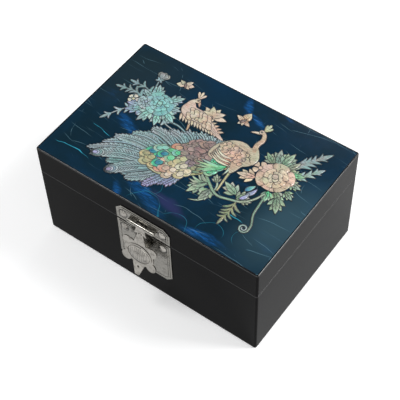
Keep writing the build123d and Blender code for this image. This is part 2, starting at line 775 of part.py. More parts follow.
def covers():
    """Scaled plumage of the train: its outline swells with a round scale at each point."""
    shape = inlay_face(smooth(cover_outline, 1))
    for x, y in cover_outline:
        shape += inlay_face([away((x, y), cover_scale_r, 36 * k) for k in range(10)])
    return shape


def train():
    """Fan of toothed tail feathers."""
    shape = None
    for root, bend, tip, width in train_feathers:
        feather = blade([root, bend, tip], width, 6, 12)
        shape = feather if shape is None else shape + feather
    return shape


def teal_peony():
    """Left peony with its small bloom."""
    return blossom((-61.5, 25), 13, 9, 0.16, 10) + blossom((-75, 18), 6.4, 6, 0.2)


def rose_peony():
    """Right peony with its small bloom."""
    return blossom((75, 13), 16, 9, 0.14, 34) + blossom((55.5, 13.5), 6.8, 5, 0.25)


def left_foliage():
    """Leaves, sprigs, stems and bud round the left peony."""
    shape = stem([(-52, 14), (-42, 13), (-31, 13.5), (-21, 11)], 1.8, 1.2)
    shape += stem([(-71, 28), (-74.5, 36), (-77.8, 47)], 1.8, 1.2)
    shape += blossom((-78, 52.5), 6.4, 5, 0.25)
    shape += blossom((-84, 16.5), 5.6, 5, 0.25)
    shape += sprig([(-76, 20), (-87, 27), (-97, 30)], 9.5, 3.2, 3)
    shape += sprig([(-72, 28), (-82, 33), (-90, 37)], 8, 2.8, 2)
    shape += sprig([(-76, 8), (-84, 2), (-90, -9)], 9, 3.2, 2)
    shape += sprig([(-48, 13), (-41, 8.5), (-33, 7)], 6, 2.2, 1)
    for root, turn, length in (
        ((-70, 12), 215, 14), ((-64, 12), 250, 14), ((-57, 13), 285, 13), ((-73, 10), 190, 13),
        ((-52, 32), 48, 12), ((-50, 27), 15, 11), ((-68, 34), 120, 11), ((-47, 22), -20, 10),
    ):
        shape += leaf(root, turn, length)
    return shape


def right_foliage():
    """Leaves and sprig round the right peony."""
    shape = sprig([(82, 35), (88, 44), (92, 52)], 10, 3.6, 3)
    for root, turn, length in (
        ((68, 27), 110, 17), ((72, 29), 80, 17), ((64, 26), 145, 13), ((78, 27), 62, 14),
        ((84, 24), 20, 13), ((88, 16), -6, 12), ((83, 1), -40, 14), ((88, -4), -62, 17),
        ((78, -2), -75, 12), ((90, 6), -28, 11), ((60, 4), 195, 17),
    ):
        shape += leaf(root, turn, length)
    return shape


def perch():
    """Branch under the peacock with its leaves, hanging sprig and curled tendril."""
    shape = stem([(23, -18), (31, -24), (38, -28.8), (45, -31), (55, -28.6), (66, -24.5), (77, -6)], 3.2, 2)
    shape += stem([(41, -29.5), (38, -38), (33, -44.7), (26, -48)], 2, 0.8)
    shape += stem([(39.5, -29), (38, -22), (33.5, -17)], 1.8, 1)
    shape += sprig([(61, -26), (62.5, -38), (61.4, -48)], 8, 3.2, 4, 38)
    for root, turn, length in (
        ((31, -25), 205, 17), ((28, -21), 180, 15), ((30, -27), 240, 16), ((36, -28), 262, 13),
        ((35.5, -20), 120, 8), ((56, -23), 150, 15), ((60, -25), 60, 12),
    ):
        shape += leaf(root, turn, length)
    shape += stem([(78, -6), (79.6, -18), (81.2, -30), (86, -40), (87, -46), (83.5, -50), (79, -48),
                   (79.6, -44.4), (82.4, -44.6)], 1.9, 1.2)
    return shape


def maple_leaf():
    """Single leaf behind the peahen, with six lobes."""
    centre = (-12, 40)
    shape = None
    for turn, reach in ((8, 14.5), (42, 12.5), (78, 11), (116, 11.5), (150, 12), (178, 10.5)):
        lobe = blade([centre, away(centre, reach, turn)], 6.4, steps=6)
        shape = lobe if shape is None else shape + lobe
    return shape


def inlay():
    """Mother-of-pearl pieces on the lid, the front ones cut out of those behind them."""
    layers = [
        ("inlay_peacock", peacock()),
        ("inlay_train_covers", covers()),
        ("inlay_peahen", peahen()),
        ("inlay_train", train()),
        ("inlay_peony_left", teal_peony()),
        ("inlay_peony_right", rose_peony()),
        ("inlay_branch", perch()),
        ("inlay_foliage_left", left_foliage()),
        ("inlay_foliage_right", right_foliage()),
        ("inlay_maple_leaf", maple_leaf()),
        ("inlay_butterflies", butterfly((-54, 57), 200, 8.4) + butterfly((13.8, 51), 215, 9)),
    ]
    taken = None
    for node, sketch in layers:
        free = sketch if taken is None else sketch - taken
        solids = extrude(free, inlay_t, dir=(0, 0, 1))
        save(Pos(0, 0, case_h) * solids, node)
        taken = sketch if taken is None else taken + sketch


os.makedirs("parts", exist_ok=True)
base_case()
bottom_and_felt()
base_lining()
tray_rests()
lid_case()
lid_top()
lid_inside()
back_hinges()
clasp_plates()
keeper_spring()
hasp()
tray()
inlay()
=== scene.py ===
"""Looks of a lacquered jewellery box: black case, shell-inlaid blue lid, nickel clasp, red tray."""

import logging
from collections.abc import Sequence
from dataclasses import dataclass, field
from enum import Enum
from functools import reduce
from math import cos, pi, radians, sin

import bmesh
import bpy
import numpy as np
from mathutils import Matrix, Vector


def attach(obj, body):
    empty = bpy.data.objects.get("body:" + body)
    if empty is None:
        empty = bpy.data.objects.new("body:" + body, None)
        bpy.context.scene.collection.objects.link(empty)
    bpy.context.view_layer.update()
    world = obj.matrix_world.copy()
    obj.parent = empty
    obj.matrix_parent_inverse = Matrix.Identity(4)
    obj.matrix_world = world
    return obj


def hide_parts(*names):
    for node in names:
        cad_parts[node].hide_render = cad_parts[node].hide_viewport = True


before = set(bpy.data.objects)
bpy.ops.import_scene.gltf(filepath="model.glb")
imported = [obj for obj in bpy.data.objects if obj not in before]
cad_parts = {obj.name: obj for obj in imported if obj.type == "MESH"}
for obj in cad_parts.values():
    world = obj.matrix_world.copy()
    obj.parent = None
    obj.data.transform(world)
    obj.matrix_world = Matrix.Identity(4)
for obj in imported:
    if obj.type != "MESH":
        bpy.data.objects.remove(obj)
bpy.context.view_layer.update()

MM = 0.001
LID_TOP = 118.0
Triple = tuple[float, float, float]
Colour = Triple
Point = tuple[float, float]
Tint = tuple[Colour, Colour]
Array = np.ndarray

log = logging.getLogger("jewellery_box")


# Shader expressions

class Signal:
    """A socket's output that Python expressions can work on; each operation adds a Math node."""

    def __init__(self, recipe: "Recipe", socket: bpy.types.NodeSocket) -> None:
        self.recipe = recipe
        self.socket = socket

    def math(self, operation: str, *others: "Signal | float", swap: bool = False) -> "Signal":
        """Add one Math node on this signal and the others, in reverse order if swapped."""
        operands = [self, *others][::-1] if swap else [self, *others]
        return self.recipe.node("ShaderNodeMath", {"operation": operation}, dict(enumerate(operands)))

    def __add__(self, other: "Signal | float") -> "Signal":
        """Sum."""
        return self.math("ADD", other)

    __radd__ = __add__

    def __sub__(self, other: "Signal | float") -> "Signal":
        """Difference."""
        return self.math("SUBTRACT", other)

    def __rsub__(self, other: float) -> "Signal":
        """Difference from a number."""
        return self.math("SUBTRACT", other, swap=True)

    def __mul__(self, other: "Signal | float") -> "Signal":
        """Product."""
        return self.math("MULTIPLY", other)

    __rmul__ = __mul__

    def __truediv__(self, other: "Signal | float") -> "Signal":
        """Quotient."""
        return self.math("DIVIDE", other)

    def gap(self, value: float) -> "Signal":
        """Distance from a value."""
        return (self - value).math("ABSOLUTE")

    def band(self, low: float, high: float, at_low: float = 0.0, at_high: float = 1.0) -> "Signal":
        """Ease from one value to another while this signal goes from low to high.

        Args:
            low: Where the change starts.
            high: Where it ends.
            at_low: The value before it.
            at_high: The value after it.

        Returns:
            The eased value.
        """
        return self.recipe.node(
            "ShaderNodeMapRange",
            {"interpolation_type": "SMOOTHSTEP"},
            {0: self, 1: low, 2: high, 3: at_low, 4: at_high},
        )


class Recipe:
    """The node tree of one finish, which ends in a Principled shader."""

    def __init__(self, name: str) -> None:
        self.material = bpy.data.materials.new(name)
        self.material.use_nodes = True
        self.tree = self.material.node_tree
        self.tree.nodes.clear()
        self.shader = self.tree.nodes.new("ShaderNodeBsdfPrincipled")
        output = self.tree.nodes.new("ShaderNodeOutputMaterial")
        self.tree.links.new(self.shader.outputs[0], output.inputs["Surface"])

    def node(
        self,
        kind: str,
        settings: dict | None = None,
        sockets: dict | None = None,
        output: int | str = 0,
    ) -> Signal:
        """Add any node.

        Args:
            kind: The node's type.
            settings: Its properties, set first; "stops" are a colour ramp's stops.
            sockets: Values or signals for its inputs, by name or place.
            output: The output to hand back, by name or place.

        Returns:
            That output.
        """
        made = self.tree.nodes.new(kind)
        settings = dict(settings or {})
        stops = settings.pop("stops", None)
        for name, value in settings.items():
            setattr(made, name, value)
        if stops:
            elements = made.color_ramp.elements
            while len(elements) < len(stops):
                elements.new(1.0)
            for element, (place, colour) in zip(elements, stops):
                element.position = place
                element.color = (*colour, 1.0)
        for key, value in (sockets or {}).items():
            self.feed(made.inputs[key], value)
        return Signal(self, made.outputs[output])

    def feed(self, socket: bpy.types.NodeSocket, value: "Signal | float | tuple") -> None:
        """Link a signal to an input, or set the input's own value.

        Args:
            socket: The input.
            value: A signal, a number, a vector or a colour.
        """
        if isinstance(value, Signal):
            self.tree.links.new(value.socket, socket)
        elif socket.type == "RGBA" and len(value) == 3:
            socket.default_value = (*value, 1.0)
        else:
            socket.default_value = value

    def finish(self, **sockets: "Signal | float | tuple") -> bpy.types.Material:
        """Feed the Principled shader; an underscore in a name stands for a space.

        Args:
            sockets: Values or signals for its inputs.

        Returns:
            The finished material.
        """
        for key, value in sockets.items():
            self.feed(self.shader.inputs[key.replace("_", " ")], value)
        return self.material

    def place(self, scale: Triple = (1, 1, 1), turn: Triple = (0, 0, 0), shift: Triple = (0, 0, 0)) -> Signal:
        """Object coordinates in metres, turned and stretched.

        Args:
            scale: Stretch along each axis.
            turn: Turn about each axis, in degrees.
            shift: Shift along each axis.

        Returns:
            The coordinates.
        """
        sockets = {
            "Vector": self.node("ShaderNodeTexCoord", output="Object"),
            "Location": shift,
            "Rotation": tuple(radians(angle) for angle in turn),
            "Scale": scale,
        }
        return self.node("ShaderNodeMapping", {}, sockets)

    def vector(self, operation: str, *operands: "Signal | Triple") -> Signal:
        """Add one Vector Math node with these operands."""
        return self.node("ShaderNodeVectorMath", {"operation": operation}, dict(enumerate(operands)))

    def axis(self, vector: Signal, letter: str) -> Signal:
        """One axis of a vector, by its letter."""
        return self.node("ShaderNodeSeparateXYZ", {}, {0: vector}, output=letter)

    def stripes(self, point: Signal, letter: str, pitch: float) -> Signal:
        """Distance from the middle line of stripes across one axis: 0 there, 0.5 on their borders."""
        return (self.axis(point, letter) / pitch).math("FRACT").gap(0.5)

    def length(self, vector: Signal) -> Signal:
        """Length of a vector."""
        return self.node("ShaderNodeVectorMath", {"operation": "LENGTH"}, {0: vector}, output="Value")

    def strongest(self, signals: list[Signal]) -> Signal:
        """The highest of several signals."""
        return reduce(lambda one, two: one.math("MAXIMUM", two), signals)

    def noise(
        self, point: Signal, scale: float, detail: float = 3, rough: float = 0.5, warp: float = 0
    ) -> Signal:
        """Cloudy noise from 0 to 1.

        Args:
            point: Where it is read.
            scale: Clouds per metre.
            detail: Octaves.
            rough: Share of the fine octaves.
            warp: Distortion.

        Returns:
            The noise value.
        """
        sockets = {"Vector": point, "Scale": scale, "Detail": detail, "Roughness": rough, "Distortion": warp}
        return self.node("ShaderNodeTexNoise", {}, sockets)

    def warp(self, point: Signal, scale: float, reach: float) -> Signal:
        """Coordinates pushed about by noise: point + reach (noise - 0.5) on each axis.

        Args:
            point: The coordinates.
            scale: Swirls per metre.
            reach: The whole push, in metres.

        Returns:
            The pushed coordinates.
        """
        swirl = self.node("ShaderNodeTexNoise", {}, {"Vector": point, "Scale": scale, "Detail": 2}, "Color")
        centred = self.vector("SUBTRACT", swirl, (0.5, 0.5, 0.5))
        return self.vector("MULTIPLY_ADD", centred, (reach, reach, reach), point)

    def patch(self, point: Signal, centre: Point, half: Point, turn: float) -> Signal:
        """Coordinates of an ellipse on the lid: length 0 in its middle and 1 on its rim.

        Args:
            point: The coordinates.
            centre: Its middle, in millimetres.
            half: Its half length and half width, in millimetres.
            turn: Turn of its length, in degrees.

        Returns:
            The ellipse's own coordinates.
        """
        sockets = {
            "Vector": point,
            "Location": (centre[0] * MM, centre[1] * MM, LID_TOP * MM),
            "Rotation": (0, 0, radians(turn)),
            "Scale": (half[0] * MM, half[1] * MM, 1),
        }
        return self.node("ShaderNodeMapping", {"vector_type": "TEXTURE"}, sockets)

    def oval(self, point: Signal, centre: Point, half: Point, turn: float) -> Signal:
        """Share of the way from the middle of such an ellipse to its rim."""
        return self.length(self.patch(point, centre, half, turn))

    def mix(
        self, share: "Signal | float", first: "Signal | tuple", second: "Signal | tuple", how: str = "MIX"
    ) -> Signal:
        """Mix two colours by the share of the second, with a blend mode."""
        settings = {"data_type": "RGBA", "blend_type": how, "clamp_factor": True}
        return self.node("ShaderNodeMix", settings, {0: share, 6: first, 7: second}, output=2)

    def ramp(self, share: Signal, *stops: tuple[float, Colour]) -> Signal:
        """The colour at a share of the way along a ramp, whose stops are pairs of place and colour."""
        return self.node("ShaderNodeValToRGB", {"stops": stops}, {0: share})

    def bump(
        self, height: Signal, depth: float, strength: float = 1.0, below: Signal | None = None
    ) -> Signal:
        """Normals bent by a height.

        Args:
            height: Height from 0 to 1.
            depth: What 1 stands for, in metres.
            strength: Share of the effect.
            below: Normals of a coarser bump.

        Returns:
            The normals.
        """
        sockets = {"Height": height, "Distance": depth, "Strength": strength}
        if below is not None:
            sockets["Normal"] = below
        return self.node("ShaderNodeBump", {}, sockets)


# Finishes

@dataclass(frozen=True)
class BlackLacquer:
    """Black gloss lacquer on board, with faint rubbing waves, settled dust and glossier rubbed edges."""

    colour: Colour = (0.003, 0.003, 0.0033)
    dust: Colour = (0.01, 0.01, 0.01)
    roughness: float = 0.1
    reflection: float = 0.018
    waves_per_metre: float = 45
    wave_depth: float = 0.00002
    top_edge: float = 0.1169
    seam: float = 0.0859
    rub: float = 0.0003
    edge_roughness: float = 0.12

    def make(self) -> bpy.types.Material:
        """Build the material."""
        r = Recipe("black_lacquer")
        point = r.place()
        waves = r.noise(point, self.waves_per_metre, detail=2)
        dust = r.noise(point, 900, detail=4, rough=0.7).band(0.52, 0.75)
        haze_and_painted_sheen = r.noise(r.place(scale=(1, 1, 4)), 30, detail=5, rough=0.65)
        height = r.axis(point, "Z")
        lip = height.gap(self.seam).band(self.rub, 2 * self.rub, 0.8, 0)
        rubbed = height.band(self.top_edge, self.top_edge + self.rub).math("MAXIMUM", lip)
        return r.finish(
            Base_Color=r.mix(dust * 0.35, self.colour, self.dust),
            Roughness=haze_and_painted_sheen.band(0.3, 0.8, self.roughness, self.roughness + 0.1),
            Specular_IOR_Level=self.reflection,
            Coat_Weight=rubbed,
            Coat_Roughness=self.edge_roughness,
            Normal=r.bump(waves, self.wave_depth),
        )


@dataclass(frozen=True)
class BlueFibrePaper:
    """Dark blue paper under clear lacquer: bright cloud streaks, long curved pale fibres, and a painted
    sheen, a pale reflection painted into the colour towards the lid's right.
    """

    deep: Colour = (0.003, 0.016, 0.027)
    navy: Colour = (0.003, 0.024, 0.055)
    bright: Colour = (0.012, 0.12, 0.4)
    violet: Colour = (0.035, 0.03, 0.12)
    cyan: Colour = (0.03, 0.3, 0.42)
    # painted sheen: colour of a pale reflection painted on the paper towards the lid's right
    haze_and_painted_sheen: Colour = (0.04, 0.085, 0.11)
    slate: Colour = (0.011, 0.024, 0.031)
    fibre: Colour = (0.12, 0.25, 0.32)
    roughness: float = 0.12
    reflection: float = 0.2
    slate_patch: tuple = ((-96, 44), (76, 60), 20)
    violet_patch: tuple = ((14, -64), (26, 6), -10)
    # where the painted reflection lies
    painted_sheen_patch: tuple = ((112, -20), (80, 48), 75)
    clouds: tuple = (
        ((-68, -11), (26, 8), -20), ((-8, -68), (34, 8), -20), ((8, 68), (18, 5), -62),
        ((24, 56), (16, 4), -20), ((58, -72), (30, 5), 4), ((44, 77), (14, 4), -8),
        ((-34, -74), (10, 5), -50),
    )
    arcs: tuple = (
        ((-7, -56), 8.5, 15), ((62, -66), 13, 100), ((-2, -82), 18, 70), ((88, -56), 7, 160),
        ((28, -80), 14, 60),
    )
    threads: tuple = (((-92, -62), (23, 0.5), -3), ((-84, -30), (13, 0.35), -6), ((70, -42), (11, 0.3), -14))
    families: tuple = (
        (4, 0.013, 0.016, 0.0, 0.012), (-7, 0.017, 0.014, 0.37, 0.018), (12, 0.021, 0.012, 0.81, 0.03),
        (58, 0.041, 0.007, 0.59, 0.06),
    )

    def fibres(self, r: Recipe, turn: float, pitch: float, thin: float, seed: float, curl: float) -> Signal:
        """One family of long fibres: thin lines across pushed coordinates, broken up by clouds.

        Args:
            r: The recipe.
            turn: Direction across the fibres, in degrees.
            pitch: Distance between fibres, in metres.
            thin: Share of the pitch that a fibre takes.
            seed: Shift of the clouds.
            curl: How far the fibres stray, in metres.

        Returns:
            The fibre mask.
        """
        along = r.place(turn=(0, 0, turn), shift=(seed, 0, seed))
        point = r.warp(along, 17, curl)
        line = r.stripes(point, "Y", pitch).band(thin * 0.5, thin, 1, 0)
        stretches = r.place(turn=(0, 0, turn), scale=(0.4, 2.6, 1), shift=(seed, 0.4, 0))
        return line * r.noise(stretches, 42, 1).band(0.54, 0.66)

    def cloud_share(self, r: Recipe, point: Signal) -> Signal:
        """Where the paper is bright: a few long patches, torn by streaky noise."""
        torn = r.warp(r.place(turn=(0, 0, 24), scale=(1, 5, 1)), 20, 0.02)
        wisps = r.noise(torn, 75, 5, 0.75).band(0.4, 0.7)
        drift = r.noise(r.place(turn=(0, 0, 32), scale=(1, 3.2, 1), shift=(0.31, 0.1, 0)), 9, 4, 0.62, 0.6)
        shares = [r.oval(point, *cloud).band(0.1, 1, 1, 0) for cloud in self.clouds]
        return r.strongest([drift.band(0.6, 0.85) * 0.5, *shares]) * (0.12 + 0.75 * wisps)

    def make(self) -> bpy.types.Material:
        """Build the material."""
        r = Recipe("blue_fibre_paper")
        point = r.warp(r.place(), 28, 0.022)
        depth = r.noise(r.place(shift=(0.7, 0.2, 0)), 12, 5, 0.62, 0.3).band(0.35, 0.68)
        colour = r.mix(depth, self.deep, self.navy)
        colour = r.mix(r.oval(point, *self.slate_patch).band(0.2, 1, 0.75, 0), colour, self.slate)
        colour = r.mix(self.cloud_share(r, point), colour, self.bright)
        colour = r.mix(r.oval(point, *self.violet_patch).band(0.2, 1, 0.45, 0), colour, self.violet)
        # painted sheen: a pale reflection painted into the colour towards the lid's right
        colour = r.mix(r.oval(point, *self.painted_sheen_patch).band(0.1, 1, 0.6, 0), colour, self.haze_and_painted_sheen)
        lines = r.strongest([self.fibres(r, *family) for family in self.families])
        colour = r.mix(lines * 0.5, colour, self.fibre)
        bold = [r.oval(point, *thread).band(0.6, 1, 1, 0) for thread in self.threads]
        for centre, radius, turn in self.arcs:
            own = r.patch(point, centre, (radius, radius), turn)
            ring = r.length(own).gap(1).band(0.006, 0.028, 1, 0)
            bold.append(ring * r.axis(own, "X").band(-0.3, 0.5) * 0.45)
        wear = r.noise(r.place(), 90, 3).band(0.25, 0.6, 0.25, 0.9)
        colour = r.mix(r.strongest(bold) * wear, colour, self.cyan)
        grain = r.noise(r.place(), 700, 3, 0.6)
        return r.finish(
            Base_Color=colour,
            Roughness=grain.band(0.3, 0.7, self.roughness, self.roughness + 0.06),
            Specular_IOR_Level=self.reflection,
            Normal=r.bump(r.noise(r.place(), 60, 2), 0.00003),
        )


@dataclass(frozen=True)
class PolishedNickel:
    """Polished nickel plate with soft dents and mottled tarnish; painted shade darkens a ring round each nail
    and the medallion's cuts.
    """

    colour: Colour = (0.27, 0.26, 0.235)
    tarnish: Colour = (0.12, 0.112, 0.1)
    painted_shade: Colour = (0.02, 0.019, 0.017)
    roughness: float = 0.14
    mottle: float = 0.6
    ring_radius: float = 0.0044
    flute_pitch: float = 0.0
    medal_z: float = 0.0616
    medal_half: Triple = (0.0118, 1, 0.0092)

    def flutes(self, r: Recipe, point: Signal) -> Signal:
        """Upright cuts across the hasp's medallion, one each pitch, inside an ellipse round its middle.

        Args:
            r: The recipe.
            point: The coordinates.

        Returns:
            The cuts' mask.
        """
        cuts = r.stripes(point, "X", self.flute_pitch).band(0.3, 0.48)
        share = r.vector("DIVIDE", r.vector("SUBTRACT", point, (0, 0, self.medal_z)), self.medal_half)
        return cuts * r.length(share).band(0.82, 1, 1, 0)

    def make(self, name: str, nails: Sequence[Triple] = ()) -> bpy.types.Material:
        """Build the material.

        Args:
            name: The material's name.
            nails: Middles of the nails on it, in metres; a ring of painted shade goes round each, where its
                head meets the plate.

        Returns:
            The material.
        """
        r = Recipe(name)
        point = r.place()
        blotches = r.noise(point, 260, 4, 0.6).band(0.42, 0.72)
        pits = r.noise(point, 2400, 3, 0.6)
        smooth = r.bump(r.noise(point, 120, 2), 0.00008, 0.6)
        colour = r.mix(blotches * self.mottle, self.colour, self.tarnish)
        # painted shade: a dark ring round each nail, where its head meets the plate
        for nail in nails:
            flat = r.vector("MULTIPLY", r.vector("SUBTRACT", point, nail), (1, 0, 1))
            painted_shade = r.length(flat).gap(self.ring_radius).band(0.0003, 0.0009, 0.9, 0)
            colour = r.mix(painted_shade, colour, self.painted_shade)
        if self.flute_pitch:
            flutes = self.flutes(r, point)
            # painted shade in the medallion's cuts
            colour = r.mix(flutes * 0.55, colour, self.painted_shade)
            smooth = r.bump(1 - flutes, 0.0003, 0.7, below=smooth)
        return r.finish(
            Base_Color=colour,
            Metallic=1.0,
            Roughness=(blotches * 0.14 + pits * 0.06) + self.roughness,
            Normal=r.bump(pits, 0.000008, 0.5, below=smooth),
        )


@dataclass(frozen=True)
class Suede:
    """Brushed wine-red suede: a short nap that lies in patches."""

    colour: Colour = (0.1, 0.009, 0.015)
    light: Colour = (0.19, 0.026, 0.036)
    nap_per_metre: float = 3200

    def make(self, name: str) -> bpy.types.Material:
        """Build the material.

        Args:
            name: The material's name.

        Returns:
            The material.
        """
        r = Recipe(name)
        point = r.place()
        patches = r.noise(point, 70, 4, 0.55, 0.6)
        nap = r.noise(point, self.nap_per_metre, 3, 0.7)
        tone = patches * 0.6 + nap * 0.4
        return r.finish(
            Base_Color=r.mix(tone.band(0.35, 0.7), self.colour, self.light),
            Roughness=0.9,
            Specular_IOR_Level=0.2,
            Sheen_Weight=0.5,
            Sheen_Roughness=0.4,
            Sheen_Tint=(0.9, 0.4, 0.45, 1.0),
            Normal=r.bump(nap, 0.00012),
        )


@dataclass(frozen=True)
class StainedWood:
    """Dark stained wood with a fine straight grain."""

    dark: Colour = (0.018, 0.01, 0.007)
    light: Colour = (0.06, 0.034, 0.022)

    def make(self) -> bpy.types.Material:
        """Build the material."""
        r = Recipe("stained_wood")
        grain = r.noise(r.place(scale=(0.08, 1, 1)), 420, 5, 0.65, 0.8)
        return r.finish(
            Base_Color=r.mix(grain.band(0.35, 0.68), self.dark, self.light),
            Roughness=grain.band(0.3, 0.7, 0.34, 0.5),
            Normal=r.bump(grain, 0.00004),
        )


@dataclass(frozen=True)
class Felt:
    """Black pressed felt."""

    colour: Colour = (0.012, 0.012, 0.013)
    fluff: Colour = (0.05, 0.05, 0.052)

    def make(self) -> bpy.types.Material:
        """Build the material."""
        r = Recipe("black_felt")
        fluff = r.noise(r.place(), 1800, 5, 0.75, 1.0)
        return r.finish(
            Base_Color=r.mix(fluff.band(0.45, 0.75), self.colour, self.fluff),
            Roughness=0.95,
            Sheen_Weight=0.3,
            Normal=r.bump(fluff, 0.0002),
        )


@dataclass(frozen=True)
class MirrorGlass:
    """Silvered glass with the odd speck of dust."""

    colour: Colour = (0.86, 0.88, 0.89)
    dust: Colour = (0.6, 0.62, 0.62)

    def make(self) -> bpy.types.Material:
        """Build the material."""
        r = Recipe("mirror_glass")
        specks = r.noise(r.place(), 1500, 4, 0.7).band(0.62, 0.8)
        return r.finish(
            Base_Color=r.mix(specks * 0.3, self.colour, self.dust),
            Metallic=1.0,
            Roughness=specks * 0.2 + 0.02,
        )


def read_points(mesh: bpy.types.Mesh) -> Array:
    """A mesh's points, one row each."""
    points = np.empty(3 * len(mesh.vertices), np.float32)
    mesh.vertices.foreach_get("co", points)
    return points.reshape(-1, 3).astype(float)


def settle(piece: bpy.types.Object) -> None:
    """Apply an object's modifiers to its mesh and take them off."""
    shape = piece.evaluated_get(bpy.context.evaluated_depsgraph_get())
    mesh = bpy.data.meshes.new_from_object(shape)
    piece.modifiers.clear()
    piece.data = mesh


def dress(node: str, material: bpy.types.Material) -> None:
    """Give a CAD node's object one material.

    Args:
        node: The node's name.
        material: Its finish.
    """
    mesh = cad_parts[node].data
    mesh.materials.clear()
    mesh.materials.append(material)


# Studio

@dataclass(frozen=True)
class PhotoCamera:
    """The camera that sees the box from the photograph's side."""

    azimuth: float = radians(37.635)
    elevation: float = radians(52.876)
    roll: float = radians(-2.125)
    distance: float = 1.0311
    slide_right: float = 0.00166
    slide_up: float = -0.00865
    target: Vector = Vector((0, 0, 0.059))
    lens: float = 99.75
    sensor: float = 36

    def make(self) -> None:
        """Place the camera: its axes come from azimuth, elevation and roll."""
        back = Vector((
            sin(self.azimuth) * cos(self.elevation),
            -cos(self.azimuth) * cos(self.elevation),
            sin(self.elevation),
        ))
        level = Vector((cos(self.azimuth), sin(self.azimuth), 0))
        upright = back.cross(level)
        right = cos(self.roll) * level + sin(self.roll) * upright
        up = cos(self.roll) * upright - sin(self.roll) * level
        place = self.target + self.slide_right * right + self.slide_up * up + self.distance * back
        data = bpy.data.cameras.new("photo_camera")
        data.lens = self.lens
        data.sensor_width = self.sensor
        data.clip_start = 0.01
        camera = bpy.data.objects.new("photo_camera", data)
        turn = Matrix((right, up, back)).transposed().to_4x4()
        camera.matrix_world = Matrix.Translation(place) @ turn
        bpy.context.scene.collection.objects.link(camera)
        bpy.context.scene.camera = camera


AIM = Vector((0, 0, 0.06))


@dataclass
class SoftBox:
    """One rectangular lamp that looks at the box."""

    name: str
    place: Triple
    size: Point
    watts: float

    def make(self) -> None:
        """Hang the lamp and aim it at the middle of the box."""
        data = bpy.data.lights.new(self.name, "AREA")
        data.shape = "RECTANGLE"
        data.size, data.size_y = self.size
        data.energy = self.watts
        lamp = bpy.data.objects.new(self.name, data)
        aim = (AIM - Vector(self.place)).to_track_quat("-Z", "Y")
        lamp.matrix_world = Matrix.Translation(self.place) @ aim.to_matrix().to_4x4()
        bpy.context.scene.collection.objects.link(lamp)


@dataclass
class Studio:
    """Pale floor, pale room with a dim ceiling, and soft lamps."""

    floor_size: float = 6.0
    floor_colour: Colour = (0.86, 0.86, 0.86)
    floor_lift: float = 0.3
    floor_fade: Point = (0.7, 2.2)
    ceiling: Point = (0.3, 0.62)
    room_pale: Colour = (0.92, 0.92, 0.92)
    room_dim: Colour = (0.16, 0.165, 0.17)
    lamps: list[SoftBox] = field(default_factory=lambda: [
        SoftBox("key_right", (1.05, 0.75, 1.35), (0.7, 0.7), 27),
        SoftBox("side_left", (-0.75, -0.25, 1.6), (0.5, 0.5), 9),
        SoftBox("fill_front", (0.2, -1.5, 1.2), (1.2, 0.8), 9),
        SoftBox("sheen_card", (-0.42, 1.3, 1.35), (0.35, 0.35), 1.2),
    ])

    def floor(self) -> None:
        """A square floor, whose own colour turns the background white and keeps the shadow.

        Past the lamps' reach its glow rises with the distance from the box, so it stays white.
        """
        half = self.floor_size / 2
        mesh = bpy.data.meshes.new("floor")
        corners = [(-half, -half, 0), (half, -half, 0), (half, half, 0), (-half, half, 0)]
        mesh.from_pydata(corners, [], [(0, 1, 2, 3)])
        floor = bpy.data.objects.new("floor", mesh)
        bpy.context.scene.collection.objects.link(floor)
        r = Recipe("floor_paper")
        rays = ("Camera", "Glossy", "Transmission")
        seen = r.strongest([r.node("ShaderNodeLightPath", output=f"Is {kind} Ray") for kind in rays])
        far = r.length(r.place()).band(*self.floor_fade)
        r.finish(
            Base_Color=self.floor_colour,
            Roughness=1.0,
            Specular_IOR_Level=0.0,
            Emission_Color=(1, 1, 1, 1),
            Emission_Strength=seen * (far * (1 - self.floor_lift) + self.floor_lift),
        )
        mesh.materials.append(r.material)

    def room(self) -> None:
        """World light: pale near the horizon, dim overhead, by the height of each direction."""
        world = bpy.data.worlds.new("room")
        bpy.context.scene.world = world
        world.use_nodes = True
        tree = world.node_tree
        background = tree.nodes["Background"]
        direction = tree.nodes.new("ShaderNodeTexCoord")
        split = tree.nodes.new("ShaderNodeSeparateXYZ")
        ramp = tree.nodes.new("ShaderNodeValToRGB")
        tree.links.new(direction.outputs["Generated"], split.inputs[0])
        tree.links.new(split.outputs["Z"], ramp.inputs[0])
        colours = (self.room_pale, self.room_dim)
        for element, place, colour in zip(ramp.color_ramp.elements, self.ceiling, colours):
            element.position = place
            element.color = (*colour, 1)
        tree.links.new(ramp.outputs[0], background.inputs["Color"])

    def make(self) -> None:
        """Set up floor, room, lamps and colour transform."""
        bpy.context.scene.view_settings.view_transform = "Standard"
        self.floor()
        self.room()
        for lamp in self.lamps:
            lamp.make()
        PhotoCamera().make()


# Shell inlay: shapes cut from thin shell, drawn in millimetres on the lid

def smooth_line(points: Sequence[Point], samples: int, closed: bool = False) -> Array:
    """Curve through points: between two of them, the cubic whose slope at each is half the step
    between its neighbours.

    Args:
        points: The points, in millimetres.
        samples: How many points the curve gets.
        closed: Whether it comes back to its start.

    Returns:
        The curve's points, one row each.
    """
    knots = np.array(points, float)
    if closed:
        padded = np.vstack([knots[-1], knots, knots[:2]])
    else:
        padded = np.vstack([2 * knots[0] - knots[1], knots, 2 * knots[-1] - knots[-2]])
    spans = len(padded) - 3
    time = np.linspace(0, spans, samples, endpoint=not closed)
    span = np.minimum(time.astype(int), spans - 1)
    share = (time - span)[:, None]
    before, start, end, after = (padded[span + n] for n in range(4))
    bend = 2 * before - 5 * start + 4 * end - after
    twist = 3 * start - before - 3 * end + after
    return 0.5 * (2 * start + (end - before) * share + bend * share**2 + twist * share**3)


